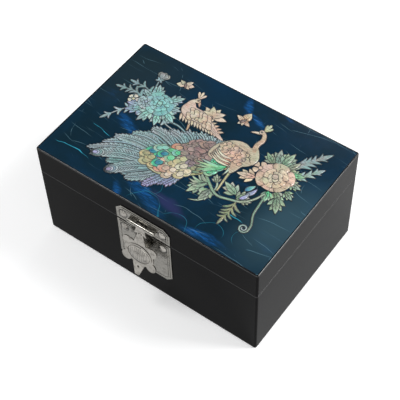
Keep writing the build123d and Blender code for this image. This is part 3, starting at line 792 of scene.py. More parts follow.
def left_of(line: Array) -> Array:
    """Unit vectors to the left of a line: its slope turned by a quarter.

    Args:
        line: The line's points.

    Returns:
        One vector per point.
    """
    slope = np.gradient(line, axis=0)
    slope /= np.maximum(np.linalg.norm(slope, axis=1, keepdims=True), 1e-9)
    return np.stack([-slope[:, 1], slope[:, 0]], axis=1)


def polar(radius: Array | float, angle: Array | float) -> Array:
    """Point at a radius and an angle in degrees."""
    turn = np.radians(angle)
    return np.stack([radius * np.cos(turn), radius * np.sin(turn)], axis=-1)


class Form(Enum):
    """How the half width of a cut piece goes from its root (0) to its tip (1)."""

    LEAF = "widest before the middle, pointed at both ends"
    PETAL = "widest near a round tip"
    SCALE = "round at both ends"
    BARB = "even, then drawn to a point"
    STEM = "even, a little thinner at the tip"
    VANE = "narrow at the root, widest near a blunt tip"

    def share(self, along: Array) -> Array:
        """Half width as a share of the widest.

        Args:
            along: Places from 0 to 1.

        Returns:
            The shares.
        """
        if self is Form.LEAF:
            return np.sin(pi * along**0.8) ** 0.9
        if self is Form.PETAL:
            return np.sin(pi * along**1.7) ** 0.5 * (0.35 + 0.65 * along)
        if self is Form.SCALE:
            return np.sin(pi * along) ** 0.5
        if self is Form.BARB:
            return 1 - along**2.5
        if self is Form.VANE:
            return (0.5 + 0.5 * along) * (1 - along**4.5) ** 0.75
        return 1 - 0.4 * along


@dataclass(frozen=True)
class ShellStock:
    """Thicknesses of the shell on the lid, in millimetres above the paper."""

    lowest: float = 0.3
    step: float = 0.09
    crown: float = 0.004
    # line_drop and line_width set the dark line round each piece: cut line and painted shadow
    line_drop: float = 0.01
    line_width: float = 0.6
    groove_lift: float = 0.008
    full: float = 1.0

    def top(self, level: float) -> float:
        """Height of a piece's rim at a level; a piece lies over those of lower levels."""
        return self.lowest + self.step * level


# dark colour of the cut lines and engraved grooves; the line round each raised piece also stands as its
# painted shadow
INK_AND_PAINTED_SHADOW = np.array([0.012, 0.014, 0.018])


def tube_faces(rows: int, columns: int) -> Array:
    """Quads between the rows of a closed tube, whose points run round each row in turn.

    Args:
        rows: How many rows.
        columns: Points in a row.

    Returns:
        Four point numbers for each face.
    """
    start = np.arange((rows - 1) * columns)
    turn = start - start % columns + (start + 1) % columns
    return np.stack([start, turn, turn + columns, start + columns], axis=1)


@dataclass
class ShellPanel:
    """Shell pieces that make one object: each is a thin closed plate with a dark cut line round it; at the
    piece's rim this line is also painted shadow on the paper.
    """

    name: str
    node: str
    seed: int
    base: float = 0
    stock: ShellStock = ShellStock()
    points: list[Array] = field(default_factory=list)
    quads: list[Array] = field(default_factory=list)
    triangles: list[Array] = field(default_factory=list)
    colours: list[Array] = field(default_factory=list)
    count: int = 0

    def __post_init__(self) -> None:
        """Seed the tones."""
        self.random = np.random.default_rng(self.seed)

    def top(self, level: float) -> float:
        """Height of a rim at a level of this panel."""
        return self.stock.top(self.base + level)

    def tone(self, colour: Colour, spread: float = 0.2) -> Array:
        """A colour changed a little at random, lighter or darker and warmer or cooler.

        Args:
            colour: The colour.
            spread: Share of the change.

        Returns:
            The changed colour.
        """
        light = 1 + spread * self.random.uniform(-1, 1)
        tint = 1 + 0.5 * spread * self.random.uniform(-1, 1, 3)
        return np.clip(np.array(colour) * light * tint, 0, 1)

    def add(self, points: Array, quads: Array, triangles: Array, colours: Array) -> None:
        """Keep one closed piece, with its faces turned outwards by the sign of its volume.

        Args:
            points: Its points in millimetres.
            quads: Its four-sided faces.
            triangles: Its three-sided faces.
            colours: One colour per point.
        """
        halves = np.vstack([quads[:, [0, 1, 2]], quads[:, [0, 2, 3]], triangles])
        a, b, c = (points[halves[:, n]] for n in range(3))
        if np.sum(a * np.cross(b, c)) < 0:
            quads, triangles = quads[:, ::-1], triangles[:, ::-1]
        self.points.append(points)
        self.quads.append(quads + self.count)
        self.triangles.append(triangles + self.count)
        self.colours.append(colours)
        self.count += len(points)

    def slab(self, line: Array, half: Array, top: float, crown: float, colours: Array) -> None:
        """A strip along a line: its section is flat below, upright at the sides and crowned above,
        height = top + crown (1 - s^2) at the share s of the half width.

        Args:
            line: The middle line.
            half: Half width at each of its points.
            top: Height of its rims.
            crown: Rise in the middle.
            colours: One colour per point of the line.
        """
        across = np.array([-1, -1, -0.5, 0, 0.5, 1, 1])
        rise = top + crown * (1 - across**2)
        rise[[0, -1]] = 0
        side = left_of(line)[:, None, :] * (half[:, None] * across)[..., None]
        rows, columns = len(line), len(across)
        points = np.empty((rows, columns, 3))
        points[..., :2] = line[:, None, :] + side
        points[..., 2] = np.minimum(rise, self.stock.full)
        fan = np.arange(1, columns - 1)
        near = np.stack([0 * fan, fan + 1, fan], axis=1)
        far = near[:, ::-1] + (rows - 1) * columns
        caps = np.vstack([near, far])
        self.add(points.reshape(-1, 3), tube_faces(rows, columns), caps, np.repeat(colours, columns, axis=0))

    def strip(
        self,
        points: Sequence[Point],
        width: float,
        tint: Tint,
        level: float = 0,
        form: Form = Form.LEAF,
        samples: int = 11,
        spread: float = 0.12,
    ) -> None:
        """Cut one strip: a curve with a width that follows its form, and a dark line round it, partly cut
        line and partly painted shadow.

        Args:
            points: Its middle line, from root to tip.
            width: Its full width.
            tint: Its colours at root and tip.
            level: How high it lies.
            form: How its width goes.
            samples: Points along it.
            spread: Random change of its tone.
        """
        along = (1 - np.cos(pi * np.linspace(0, 1, samples))) / 2
        fine = smooth_line(points, 8 * samples)
        steps = np.linspace(0, 1, len(fine))
        middle = np.stack([np.interp(along, steps, fine[:, n]) for n in range(2)], axis=1)
        half = np.maximum(width / 2 * form.share(along), 0.03)
        top = self.top(level)
        root, end = (self.tone(colour, spread) for colour in tint)
        self.slab(middle, half, top, self.stock.crown, root + (end - root) * along[:, None])
        slope = middle[[0, -1]] - middle[[1, -2]]
        slope /= np.linalg.norm(slope, axis=1, keepdims=True)
        middle[[0, -1]] += self.stock.line_width * slope
        # the dark line round the strip: cut line and painted shadow
        ink_and_painted_shadow = np.repeat(INK_AND_PAINTED_SHADOW[None], samples, axis=0)
        self.slab(middle, half + self.stock.line_width, top - self.stock.line_drop, 0, ink_and_painted_shadow)

    def blade(
        self, root: Point | Array, turn: float, length: float, width: float, tint: Tint,
        level: float = 0, form: Form = Form.LEAF, samples: int = 11, spread: float = 0.12,
    ) -> None:
        """Cut a straight strip of a length from its root in a direction; the rest is as in strip."""
        start = np.array(root, float)
        self.strip([start, start + polar(length, turn)], width, tint, level, form, samples, spread)

    def groove(self, points: Sequence[Point], level: float, width: float = 0.6, samples: int = 7) -> None:
        """A dark engraved line on a piece.

        Args:
            points: The line.
            level: The level of the piece.
            width: Its width.
            samples: Points along it.
        """
        middle = smooth_line(points, samples)
        half = np.maximum(width / 2 * np.sin(pi * np.linspace(0, 1, samples)) ** 0.5, 0.02)
        top = self.top(level) + self.stock.crown + self.stock.groove_lift
        self.slab(middle, half, top, 0, np.repeat(INK_AND_PAINTED_SHADOW[None], samples, axis=0))

    def plate(
        self,
        outline: Array,
        colour: Colour,
        level: float = 0,
        edge: Colour | None = None,
        centre: Point | None = None,
    ) -> None:
        """Cut one plate: rings of the outline drawn in to its centre, each a little higher,
        height = top + crown (1 - s^2) at the share s of the outline.

        Args:
            outline: Its outline, seen whole from the centre.
            colour: Its colour in the middle.
            level: How high it lies.
            edge: Its colour at the rim, if another.
            centre: Its centre, or None for the outline's middle.
        """
        middle = np.mean(outline, axis=0) if centre is None else np.array(centre, float)
        inner = self.tone(colour)
        rim = inner if edge is None else self.tone(edge)
        reach = outline - middle
        # the dark ring round the plate: cut line and painted shadow
        wider = middle + reach * (1 + self.stock.line_width / np.linalg.norm(reach, axis=1, keepdims=True))
        self.rings(wider, middle, self.top(level) - self.stock.line_drop, 0, INK_AND_PAINTED_SHADOW, INK_AND_PAINTED_SHADOW)
        self.rings(outline, middle, self.top(level), self.stock.crown, inner, rim)

    def rings(
        self, outline: Array, middle: Array, top: float, crown: float, inner: Array, rim: Array
    ) -> None:
        """The rings and the two centres of a plate.

        Args:
            outline: Its outline.
            middle: Its centre.
            top: Height of its rim.
            crown: Rise at its centre.
            inner: Colour at the centre.
            rim: Colour at the rim.
        """
        shares = np.array([1, 1, 0.93, 0.6, 0.3])
        heights = np.minimum(top + crown * (1 - shares**2), self.stock.full)
        heights[0] = 0
        heights[1] -= 0.3 * crown
        rows, columns = len(shares), len(outline)
        points = np.empty((rows, columns, 3))
        points[..., :2] = middle + shares[:, None, None] * (outline - middle)
        points[..., 2] = heights[:, None]
        poles = np.array([[*middle, min(top + crown, self.stock.full)], [*middle, 0]])
        first = np.arange(columns)
        after = np.roll(first, -1)
        last, peak = (rows - 1) * columns, np.full(columns, rows * columns)
        upper = np.stack([first + last, after + last, peak], axis=1)
        lower = np.stack([after, first, peak + 1], axis=1)
        fade = np.repeat(1 - shares, columns)[:, None]
        colours = np.vstack([rim + (inner - rim) * fade, inner, inner])
        everything = np.vstack([points.reshape(-1, 3), poles])
        self.add(everything, tube_faces(rows, columns), np.vstack([upper, lower]), colours)

    def build(self, material: bpy.types.Material) -> None:
        """Make the object, in place of its CAD node.

        Args:
            material: The shell's finish.
        """
        points = np.vstack(self.points)
        points[:, 2] += LID_TOP
        quads, triangles = np.vstack(self.quads), np.vstack(self.triangles)
        mesh = bpy.data.meshes.new(self.name)
        mesh.vertices.add(len(points))
        mesh.vertices.foreach_set("co", (points * MM).ravel().astype(np.float32))
        loops = np.concatenate([quads.ravel(), triangles.ravel()])
        sizes = np.concatenate([np.full(len(quads), 4), np.full(len(triangles), 3)])
        mesh.loops.add(len(loops))
        mesh.loops.foreach_set("vertex_index", loops.astype(np.int32))
        mesh.polygons.add(len(sizes))
        mesh.polygons.foreach_set("loop_start", (np.cumsum(sizes) - sizes).astype(np.int32))
        mesh.update(calc_edges=True)
        tint = mesh.attributes.new("tint", "FLOAT_COLOR", "POINT")
        colours = np.hstack([np.vstack(self.colours), np.ones((len(points), 1))])
        tint.data.foreach_set("color", colours.ravel().astype(np.float32))
        mesh.materials.append(material)
        piece = bpy.data.objects.new(self.name, mesh)
        bpy.context.scene.collection.objects.link(piece)
        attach(piece, "lid")
        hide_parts(self.node)
        log.info("%s: %d faces", self.name, len(sizes))


# The box's sub-assemblies

SIDES = ("front", "right", "back", "left")


@dataclass
class LacquerCase:
    """Base and lid boards, the bottom board and the felt under it."""

    lacquer: BlackLacquer = BlackLacquer()
    wood: StainedWood = StainedWood()
    felt: Felt = Felt()

    def make(self) -> None:
        """Dress the boards."""
        black = self.lacquer.make()
        for side in SIDES:
            dress(f"base_board_{side}", black)
            dress(f"lid_board_{side}", black)
        wood = self.wood.make()
        for node in ("bottom_board", "tray_rest_left", "tray_rest_right", "top_panel"):
            dress(node, wood)
        dress("underside_felt", self.felt.make())
        log.info("case boards dressed")


@dataclass
class Lining:
    """Suede linings, mirror and the lift-out tray."""

    suede: Suede = Suede()
    mirror: MirrorGlass = MirrorGlass()

    def make(self) -> None:
        """Dress linings, mirror and tray."""
        suede = self.suede.make("wine_suede")
        linings = [f"wall_lining_{side}" for side in SIDES]
        walls = [f"tray_wall_{side}" for side in SIDES]
        rest = ["floor_lining", "lid_lining", "tray_suede", "tray_floor"]
        dividers = ["tray_long_divider", "tray_cross_dividers"]
        for node in linings + walls + rest + dividers:
            dress(node, suede)
        dress("lid_mirror", self.mirror.make())
        log.info("linings dressed")


@dataclass
class RingRolls:
    """The tray's padded rolls, whose suede is filled out by a short cloth simulation."""

    velvet: Suede = Suede(colour=(0.11, 0.01, 0.016), light=(0.21, 0.03, 0.042))
    count: int = 5
    start: Triple = (0.0012, 0.0007, 0.0007)
    voxel: float = 0.002
    pressure: float = 4.0
    frames: int = 20
    cap: float = 0.0007

    def blank(self, node: str) -> tuple[bpy.types.Object, Array]:
        """A closed even mesh of one roll, drawn in a little on every side.

        Args:
            node: The roll's CAD node.

        Returns:
            The object and the low and high corner of its CAD solid.
        """
        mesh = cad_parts[node].data.copy()
        points = read_points(mesh)
        box = np.array([points.min(axis=0), points.max(axis=0)])
        middle = box.mean(axis=0)
        points = middle + (points - middle) * (1 - 2 * np.array(self.start) / (box[1] - box[0]))
        mesh.vertices.foreach_set("co", points.ravel())
        shape = bmesh.new()
        shape.from_mesh(mesh)
        bmesh.ops.remove_doubles(shape, verts=shape.verts, dist=1e-6)
        shape.to_mesh(mesh)
        shape.free()
        piece = bpy.data.objects.new(f"padded_{node}", mesh)
        bpy.context.scene.collection.objects.link(piece)
        remesh = piece.modifiers.new("remesh", "REMESH")
        remesh.mode = "VOXEL"
        remesh.voxel_size = self.voxel
        settle(piece)
        return piece, box

    def fill(self, piece: bpy.types.Object, box: Array) -> None:
        """Blow the roll up with cloth pressure; no point moves more than the cap or leaves the CAD box.

        Args:
            piece: The roll.
            box: Low and high corner that it stays in.
        """
        before = read_points(piece.data)
        cloth = piece.modifiers.new("cloth", "CLOTH")
        cloth.settings.quality = 4
        cloth.settings.use_pressure = True
        cloth.settings.uniform_pressure_force = self.pressure
        cloth.settings.effector_weights.gravity = 0
        for step in range(1, self.frames + 1):
            bpy.context.scene.frame_set(step)
        settle(piece)
        moved = read_points(piece.data) - before
        reach = np.linalg.norm(moved, axis=1, keepdims=True)
        moved *= np.minimum(1, self.cap / np.maximum(reach, 1e-9))
        piece.data.vertices.foreach_set("co", np.clip(before + moved, *box).ravel())
        bpy.context.scene.frame_set(1)

    def make(self) -> None:
        """Pad every roll."""
        velvet = self.velvet.make("ring_velvet")
        for number in range(self.count):
            node = f"ring_roll_{number + 1}"
            piece, box = self.blank(node)
            self.fill(piece, box)
            finer = piece.modifiers.new("finer", "SUBSURF")
            finer.levels = finer.render_levels = 1
            settle(piece)
            piece.data.materials.clear()
            piece.data.materials.append(velvet)
            piece.data.polygons.foreach_set("use_smooth", np.ones(len(piece.data.polygons), bool))
            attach(piece, "tray")
            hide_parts(node)
            log.info("%s: %d points", piece.name, len(piece.data.vertices))


@dataclass
class Ironwork:
    """Clasp, hasp, nails, hinges and screws."""

    nickel: PolishedNickel = PolishedNickel()
    # painted light: a lighter copy of the same nickel for the hasp, its pin and the nails, which look
    # brighter under the lamps
    bright: PolishedNickel = PolishedNickel(colour=(0.33, 0.315, 0.288), flute_pitch=0.0022)
    steel: PolishedNickel = PolishedNickel(colour=(0.6, 0.58, 0.54), roughness=0.22, mottle=0.2)
    spring: PolishedNickel = PolishedNickel(colour=(0.2, 0.22, 0.26), roughness=0.3, mottle=0.3)

    def nails(self) -> list[Triple]:
        """Middle of each clasp nail: the mean of the points on its side of its CAD node."""
        middles = []
        for node in ("upper_nails", "lower_nails"):
            points = read_points(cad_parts[node].data)
            for side in (points[:, 0] < 0, points[:, 0] > 0):
                low, high = points[side].min(axis=0), points[side].max(axis=0)
                middles.append(tuple(float(value) for value in (low + high) / 2))
        return middles

    def make(self) -> None:
        """Dress the metal nodes."""
        nickel = self.nickel.make("polished_nickel", self.nails())
        # the lighter, painted-light copy of the nickel
        bright = self.bright.make("lit_nickel")
        steel = self.steel.make("plated_steel")
        for node in ("upper_plate", "lower_plate", "catch_tongue"):
            dress(node, nickel)
        for node in ("hasp_plate", "upper_nails", "lower_nails", "hasp_pin"):
            dress(node, bright)
        leaves = [f"hinge_leaf_{part}_{side}" for part in ("base", "lid") for side in ("left", "right")]
        for node in leaves + ["hinge_pins", "hinge_screws_base", "hinge_screws_lid"]:
            dress(node, steel)
        dress("keeper_spring", self.spring.make("spring_steel"))
        log.info("ironwork dressed")


@dataclass(frozen=True)
class ShellTones:
    """Base colours of the shell, from its natural sheen."""

    sea_grey: Colour = (0.19, 0.32, 0.34)
    sea_pale: Colour = (0.33, 0.44, 0.47)
    sea_dark: Colour = (0.15, 0.24, 0.25)
    teal: Colour = (0.19, 0.47, 0.40)
    teal_pale: Colour = (0.22, 0.44, 0.45)
    rose: Colour = (0.46, 0.325, 0.23)
    rose_pale: Colour = (0.56, 0.44, 0.34)
    blush: Colour = (0.5, 0.24, 0.165)
    cream: Colour = (0.601, 0.532, 0.418)
    olive: Colour = (0.28, 0.29, 0.16)
    straw: Colour = (0.44, 0.41, 0.224)
    emerald: Colour = (0.08, 0.50, 0.24)
    azure: Colour = (0.024, 0.128, 0.266)
    plum: Colour = (0.21, 0.155, 0.145)
    lilac: Colour = (0.30, 0.30, 0.52)
    moss: Colour = (0.16, 0.25, 0.17)
    moss_pale: Colour = (0.33, 0.43, 0.32)
    smoke: Colour = (0.25, 0.26, 0.24)
    lilac_grey: Colour = (0.24, 0.2, 0.25)
    mauve: Colour = (0.33, 0.24, 0.215)


TONES = ShellTones()
MOSS: Tint = (TONES.moss, TONES.moss_pale)
SEA: Tint = (TONES.sea_grey, TONES.sea_pale)
ROSE: Tint = (TONES.rose, TONES.rose_pale)


def plain(colour: Colour) -> Tint:
    """The same colour at root and tip."""
    return colour, colour


@dataclass(frozen=True)
class MotherOfPearl:
    """Polished shell: the piece's own tone with growth bands, a drift of pink and green, and gloss."""

    pink: Colour = (0.85, 0.5, 0.46)
    green: Colour = (0.4, 0.75, 0.58)
    # tints darker than this are the dark lines: cut lines, grooves and painted shadow
    ink_and_shadow_below: float = 0.03
    pearl: Colour = (0.62, 0.62, 0.6)

    def make(self) -> bpy.types.Material:
        """Build the material."""
        r = Recipe("mother_of_pearl")
        tint = r.node("ShaderNodeAttribute", {"attribute_name": "tint"}, output="Color")
        light = r.node("ShaderNodeRGBToBW", {}, {0: tint})
        shell = light.band(self.ink_and_shadow_below, 2 * self.ink_and_shadow_below)
        bands = r.noise(r.place(turn=(0, 0, 40), scale=(1, 5, 1)), 170, 3, 0.6, 0.8)
        drift = r.noise(r.place(), 75, 3, 0.55, 0.9)
        flecks = r.noise(r.place(turn=(0, 0, -25), scale=(1, 2, 1)), 700, 3, 0.6)
        sheen = r.ramp(drift, (0.36, self.green), (0.5, self.pearl), (0.64, self.pink))
        colour = r.mix(0.3, tint, sheen, "SOFT_LIGHT")
        tone = bands.band(0.3, 0.7, 0.72, 1.12) * flecks.band(0.35, 0.7, 0.88, 1.12)
        grey = r.node("ShaderNodeCombineColor", {}, {0: tone, 1: tone, 2: tone})
        colour = r.mix(shell, tint, r.mix(1.0, colour, grey, "MULTIPLY"))
        return r.finish(
            Base_Color=colour,
            Roughness=shell * (bands * 0.12 - 0.3) + 0.52,
            Specular_IOR_Level=0.5,
            Coat_Weight=shell * 0.35,
            Coat_Roughness=0.08,
            Normal=r.bump(bands, 0.00003, 0.6),
        )


@dataclass
class Foliage:
    """Leaves, sprigs and blooms, cut on one panel."""

    panel: ShellPanel
    lobes: tuple = ((0.1, 0.56, 52), (0.36, 0.5, 36))
    veins: tuple = (0.14, 0.4)
    bloom_rings: tuple = ((6, 0.1, 1.0, 1.2), (4, 0, 0.68, 1.0), (3, -0.08, 0.4, 0.68))
    heart: float = 0.16

    def leaf(self, root: Point, turn: float, length: float, tint: Tint, level: float = 0) -> None:
        """A leaf with a long middle lobe, two pairs of side lobes, one side darker, and engraved veins.

        Args:
            root: Where it leaves its stem.
            turn: Its direction, in degrees.
            length: Its length.
            tint: Its colours at root and tip.
            level: How high it lies.
        """
        base = np.array(root, float)
        dark = tuple(0.55 * value for value in tint[0])
        for share, reach, spread in self.lobes:
            for side in (-1, 1):
                start = base + polar(length * share, turn)
                shade = dark if side < 0 else tint[0]
                self.panel.blade(start, turn + side * spread, length * reach, length * 0.27, (shade, tint[1]),
                                 level, samples=8, spread=0.25)
        self.panel.blade(base, turn, length, length * 0.36, tint, level + 0.3, spread=0.25)
        self.panel.groove([base, base + polar(length * 0.8, turn)], level + 0.3)
        for side in (-1, 1):
            for share in self.veins:
                start = base + polar(length * share, turn)
                self.panel.groove([start, start + polar(length * 0.34, turn + side * 42)], level + 0.3, 0.36)

    def sprig(
        self, points: Sequence[Point], leaf: Point, pairs: int, tint: Tint,
        level: float = 0, spread: float = 42, form: Form = Form.SCALE,
    ) -> None:
        """A stem with pairs of slim leaves and one at its end.

        Args:
            points: The stem, from root to tip.
            leaf: Length and width of a leaf.
            pairs: How many pairs.
            tint: Colours at the roots and the tips.
            level: How high it lies.
            spread: Angle between a leaf and the stem.
            form: Shape of a leaf.
        """
        length, width = leaf
        self.panel.strip(points, 1.3, tint, level, Form.STEM)
        stem = smooth_line(points, 40)
        slope = stem[1:] - stem[:-1]
        heading = np.degrees(np.arctan2(slope[:, 1], slope[:, 0]))
        for number in range(pairs):
            place = int(8 + 28 * number / max(pairs - 1, 1))
            size = 1 - 0.4 * number / pairs
            for side in (-1, 1):
                angle = heading[place] + side * spread
                root = stem[place]
                end = root + polar(length * size, angle)
                middle = (root + end) / 2 + polar(0.12 * length, angle - side * 90)
                self.panel.strip([root, middle, end], width * size, tint, level, form, samples=9)
        self.panel.blade(stem[-1], heading[-1], length, width * 1.1, tint, level, form, samples=9)

    def peony(self, centre: Point, radius: float, tint: Tint, level: float, turn: float) -> None:
        """A full bloom: rings of round petals, each ring over the one outside it, and a heart.

        Args:
            centre: Its middle.
            radius: Its reach.
            tint: Colours at the petals' roots and rims.
            level: Level of the outer ring.
            turn: Turn of the whole bloom, in degrees.
        """
        middle = np.array(centre, float)
        shake = self.panel.random.uniform
        self.panel.plate(middle + polar(radius * 0.72, np.arange(0, 360, 12)), tint[0], level - 0.5)
        for ring, (petals, start, reach, width) in enumerate(self.bloom_rings):
            for number in range(petals):
                angle = turn + 32 * ring + 360 * number / petals + 9 * shake(-1, 1)
                size = 1 + 0.12 * shake(-1, 1)
                height = level + ring + 0.45 * (number % 2)
                root = middle + polar(radius * start, angle)
                self.panel.blade(root, angle, radius * (reach * size - start), radius * width, tint, height,
                                 Form.PETAL, samples=16, spread=0.16)
                near = middle + polar(radius * (0.3 * start + 0.7 * reach), angle + 4)
                far = middle + polar(radius * reach * 0.94, angle + 9)
                self.panel.groove([near, far], height, 0.5)
        lobe = polar(radius * self.heart, np.arange(0, 360, 24))
        for side in (-1, 1):
            place = middle + polar(radius * 0.09, turn + 90 * side)
            self.panel.plate(place + lobe, tint[1], level + 3 + 0.2 * side)

    def blossom(self, centre: Point, radius: float, petals: int, tint: Tint, level: float) -> None:
        """A small flower with one ring of petals and a round eye.

        Args:
            centre: Its middle.
            radius: Its reach.
            petals: How many petals.
            tint: Colours at their roots and rims.
            level: Level of the petals.
        """
        middle = np.array(centre, float)
        for number in range(petals):
            angle = 17 + 360 * number / petals
            self.panel.blade(middle + polar(radius * 0.15, angle), angle, radius * 0.85, radius * 0.95, tint,
                             level + 0.5 * (number % 2), Form.PETAL, samples=12)
        self.panel.plate(middle + polar(radius * 0.24, np.arange(0, 360, 30)), tint[1], level + 1.2)


@dataclass
class Plumage:
    """Feathers and scales, cut on one panel."""

    panel: ShellPanel
    slant: float = 46
    tooth: Point = (2.4, 2.0)
    quill_width: float = 1.7

    def feather(self, points: Sequence[Point], width: float, tint: Tint, level: float, pitch: float) -> None:
        """A long feather: a pale vane with dark cuts between its slanting barbs, barb tips that stand
        out past its rim, and a quill. A barb's reach is half the vane's width / sin(slant).

        Args:
            points: The quill's line, from root to tip.
            width: Full width.
            tint: Colours at root and tip.
            level: How high it lies.
            pitch: Distance between barbs along the quill.
        """
        quill = smooth_line(points, 160)
        run = np.concatenate([[0], np.cumsum(np.linalg.norm(np.diff(quill, axis=0), axis=1))])
        slope = np.gradient(quill, axis=0)
        heading = np.degrees(np.unwrap(np.arctan2(slope[:, 1], slope[:, 0])))
        places = np.arange(0.2 * run[-1], run[-1] - 0.6 * pitch, pitch)
        for number, place in enumerate(places):
            part = place / run[-1]
            root = np.array([np.interp(place, run, quill[:, n]) for n in range(2)])
            angle = np.interp(place, run, heading)
            vane = Form.VANE.share(np.array(min(part + 0.1, 0.98)))
            reach = 0.5 * width * vane / sin(radians(self.slant))
            for side in (-1, 1):
                out = angle + side * self.slant
                cut = [root + polar(1.5, out), root + polar(0.93 * reach, out - 5 * side)]
                self.panel.groove(cut, level, 0.3 * pitch, 5)
                if number % 2 == 0:
                    tip = root + polar(reach + self.tooth[0], out - 10 * side)
                    barb = [root + polar(0.7 * reach, out), tip]
                    tone = (blend(*tint, part), tint[1])
                    self.panel.strip(barb, self.tooth[1], tone, level - 0.05, Form.BARB, samples=5)
        self.panel.strip(points, width, tint, level, Form.VANE, samples=22, spread=0.1)
        self.panel.strip(points, self.quill_width, tint, level + 0.35, Form.STEM, samples=16)

    def eye(self, centre: Array, size: Point, turn: float, colours: Sequence[Colour], level: float) -> None:
        """The eye of a tail feather: ovals inside each other, the inner ones nearer the tip.

        Args:
            centre: Its middle.
            size: Length and width of the outer oval.
            turn: Direction of its long axis, in degrees.
            colours: Colours from outside in.
            level: Level of the outer oval.
        """
        along, across = cos(radians(turn)), sin(radians(turn))
        spin = np.array([[along, across], [-across, along]])
        for number, colour in enumerate(colours):
            oval = polar(1.0, np.arange(0, 360, 20)) * np.array(size) / 2 * (1 - 0.22 * number)
            shift = polar(0.06 * size[0] * number, turn)
            self.panel.plate(centre + shift + oval @ spin, colour, level + 0.6 * number)


def inside(outline: Array, point: Array) -> bool:
    """Whether a point lies in an outline: a ray to the right crosses it an odd number of times.

    Args:
        outline: The outline.
        point: The point.

    Returns:
        True if it is inside.
    """
    after = np.roll(outline, -1, axis=0)
    spans = (outline[:, 1] > point[1]) != (after[:, 1] > point[1])
    rise = np.where(after[:, 1] == outline[:, 1], 1e-9, after[:, 1] - outline[:, 1])
    crossing = outline[:, 0] + (point[1] - outline[:, 1]) * (after[:, 0] - outline[:, 0]) / rise
    return bool(np.sum(spans & (crossing > point[0])) % 2)


def march(first: Sequence, step: Sequence, count: int) -> list[Array]:
    """Copies of a set of numbers, each further by the same step: first + number x step."""
    return [np.array(first) + number * np.array(step) for number in range(count)]


def blend(first: Colour, second: Colour, share: float) -> Colour:
    """A colour between two: first x (1 - share) + second x share."""
    return tuple((1 - share) * a + share * b for a, b in zip(first, second))


@dataclass(frozen=True)
class ScaleRows:
    """Rows of scales on a bird's body: every other row is moved along, and one scale in four has a
    tone of its own. Every probe, a distance and an angle from a scale's root, has to lie on the body."""

    counts: tuple
    first: Point
    along: Point
    down: Point
    stagger: float
    probes: tuple
    turn: float
    size: Point
    tint: Tint
    fourth: Colour
    level: float
    lift: float

    def cut(self, panel: ShellPanel, body: Array) -> None:
        """Cut them.

        Args:
            panel: The bird's panel.
            body: The body's outline.
        """
        first, along, down = (np.array(value) for value in (self.first, self.along, self.down))
        for row, count in enumerate(self.counts):
            for number in range(count):
                root = first + row * down + number * along + (self.stagger * (row % 2), 0)
                if all(inside(body, root + polar(*probe)) for probe in self.probes):
                    tint = (self.fourth if (row + number) % 4 == 0 else self.tint[0], self.tint[1])
                    height = self.level + self.lift * (number % 2)
                    panel.blade(root, self.turn, *self.size, tint, height, Form.SCALE, samples=9)


@dataclass
class TrainFeathers:
    """The peacock's long tail feathers, in sea-grey shell: a fan, and a fuller layer behind it."""

    fan: tuple = (
        ((4, -28), (3, -38), (-1, -48), 8), ((-4, -32), (-9, -45), (-16, -59), 9),
        ((-10, -36), (-20, -49), (-34, -61), 11), ((-24, -38), (-38, -49), (-53, -64), 14.5),
        ((-26, -34), (-52, -41), (-75.5, -55), 14.5), ((-28, -28), (-58, -36), (-83, -52.5), 8),
        ((-28, -26), (-54, -28), (-75, -40), 11), ((-28, -22), (-50, -22.5), (-70, -28), 11),
        ((-26, -15), (-44, -13), (-59, -17), 11), ((-20, -7), (-34, -2), (-48, -2), 11),
        ((-12, -1), (-21, 4), (-32, 5), 9.5), ((-7, 5), (-13, 10), (-20, 12.5), 8),
        ((1, 10), (-3, 15), (-9, 17.5), 7.5), ((8, 10), (5, 17), (1, 20.5), 6.5),
        ((11, 12), (12, 18), (10, 22.5), 5.5),
    )
    lilac_tips: int = 2
    eyed: tuple = (3, 4)
    eye_size: Point = (12.5, 8.6)
    eye_back: float = 5.4

    def make(self, material: bpy.types.Material) -> None:
        """Cut the feathers: those between two of the fan lie behind, the eyed ones on top."""
        panel = ShellPanel("train_feathers", "inlay_train", seed=3)
        plumage = Plumage(panel)
        for number, (first, second) in enumerate(zip(self.fan, self.fan[1:])):
            root, bend, tip = ((np.array(a) + np.array(b)) / 2 for a, b in zip(first[:3], second[:3]))
            end = TONES.lilac if number < self.lilac_tips else TONES.sea_grey
            middle = [root, bend, bend + 0.72 * (tip - bend)]
            plumage.feather(middle, 0.36 * (first[3] + second[3]), (TONES.sea_grey, end), 0, 1.75)
        for number, (*points, width) in enumerate(self.fan):
            eyed = number in self.eyed
            level = 1.6 if eyed else 0.5 + 0.5 * (number % 2)
            end = TONES.lilac if number < self.lilac_tips else TONES.sea_pale
            plumage.feather(points, width, (TONES.sea_grey, end), level, 2.6 if eyed else 2.0)
            if eyed:
                slope = np.array(points[2]) - np.array(points[1])
                turn = float(np.degrees(np.arctan2(slope[1], slope[0])))
                centre = np.array(points[2]) - polar(self.eye_back, turn)
                rings = (TONES.sea_pale, TONES.sea_grey, TONES.sea_pale, TONES.lilac)
                plumage.eye(centre, self.eye_size, turn, rings, level + 0.8)
        panel.build(material)


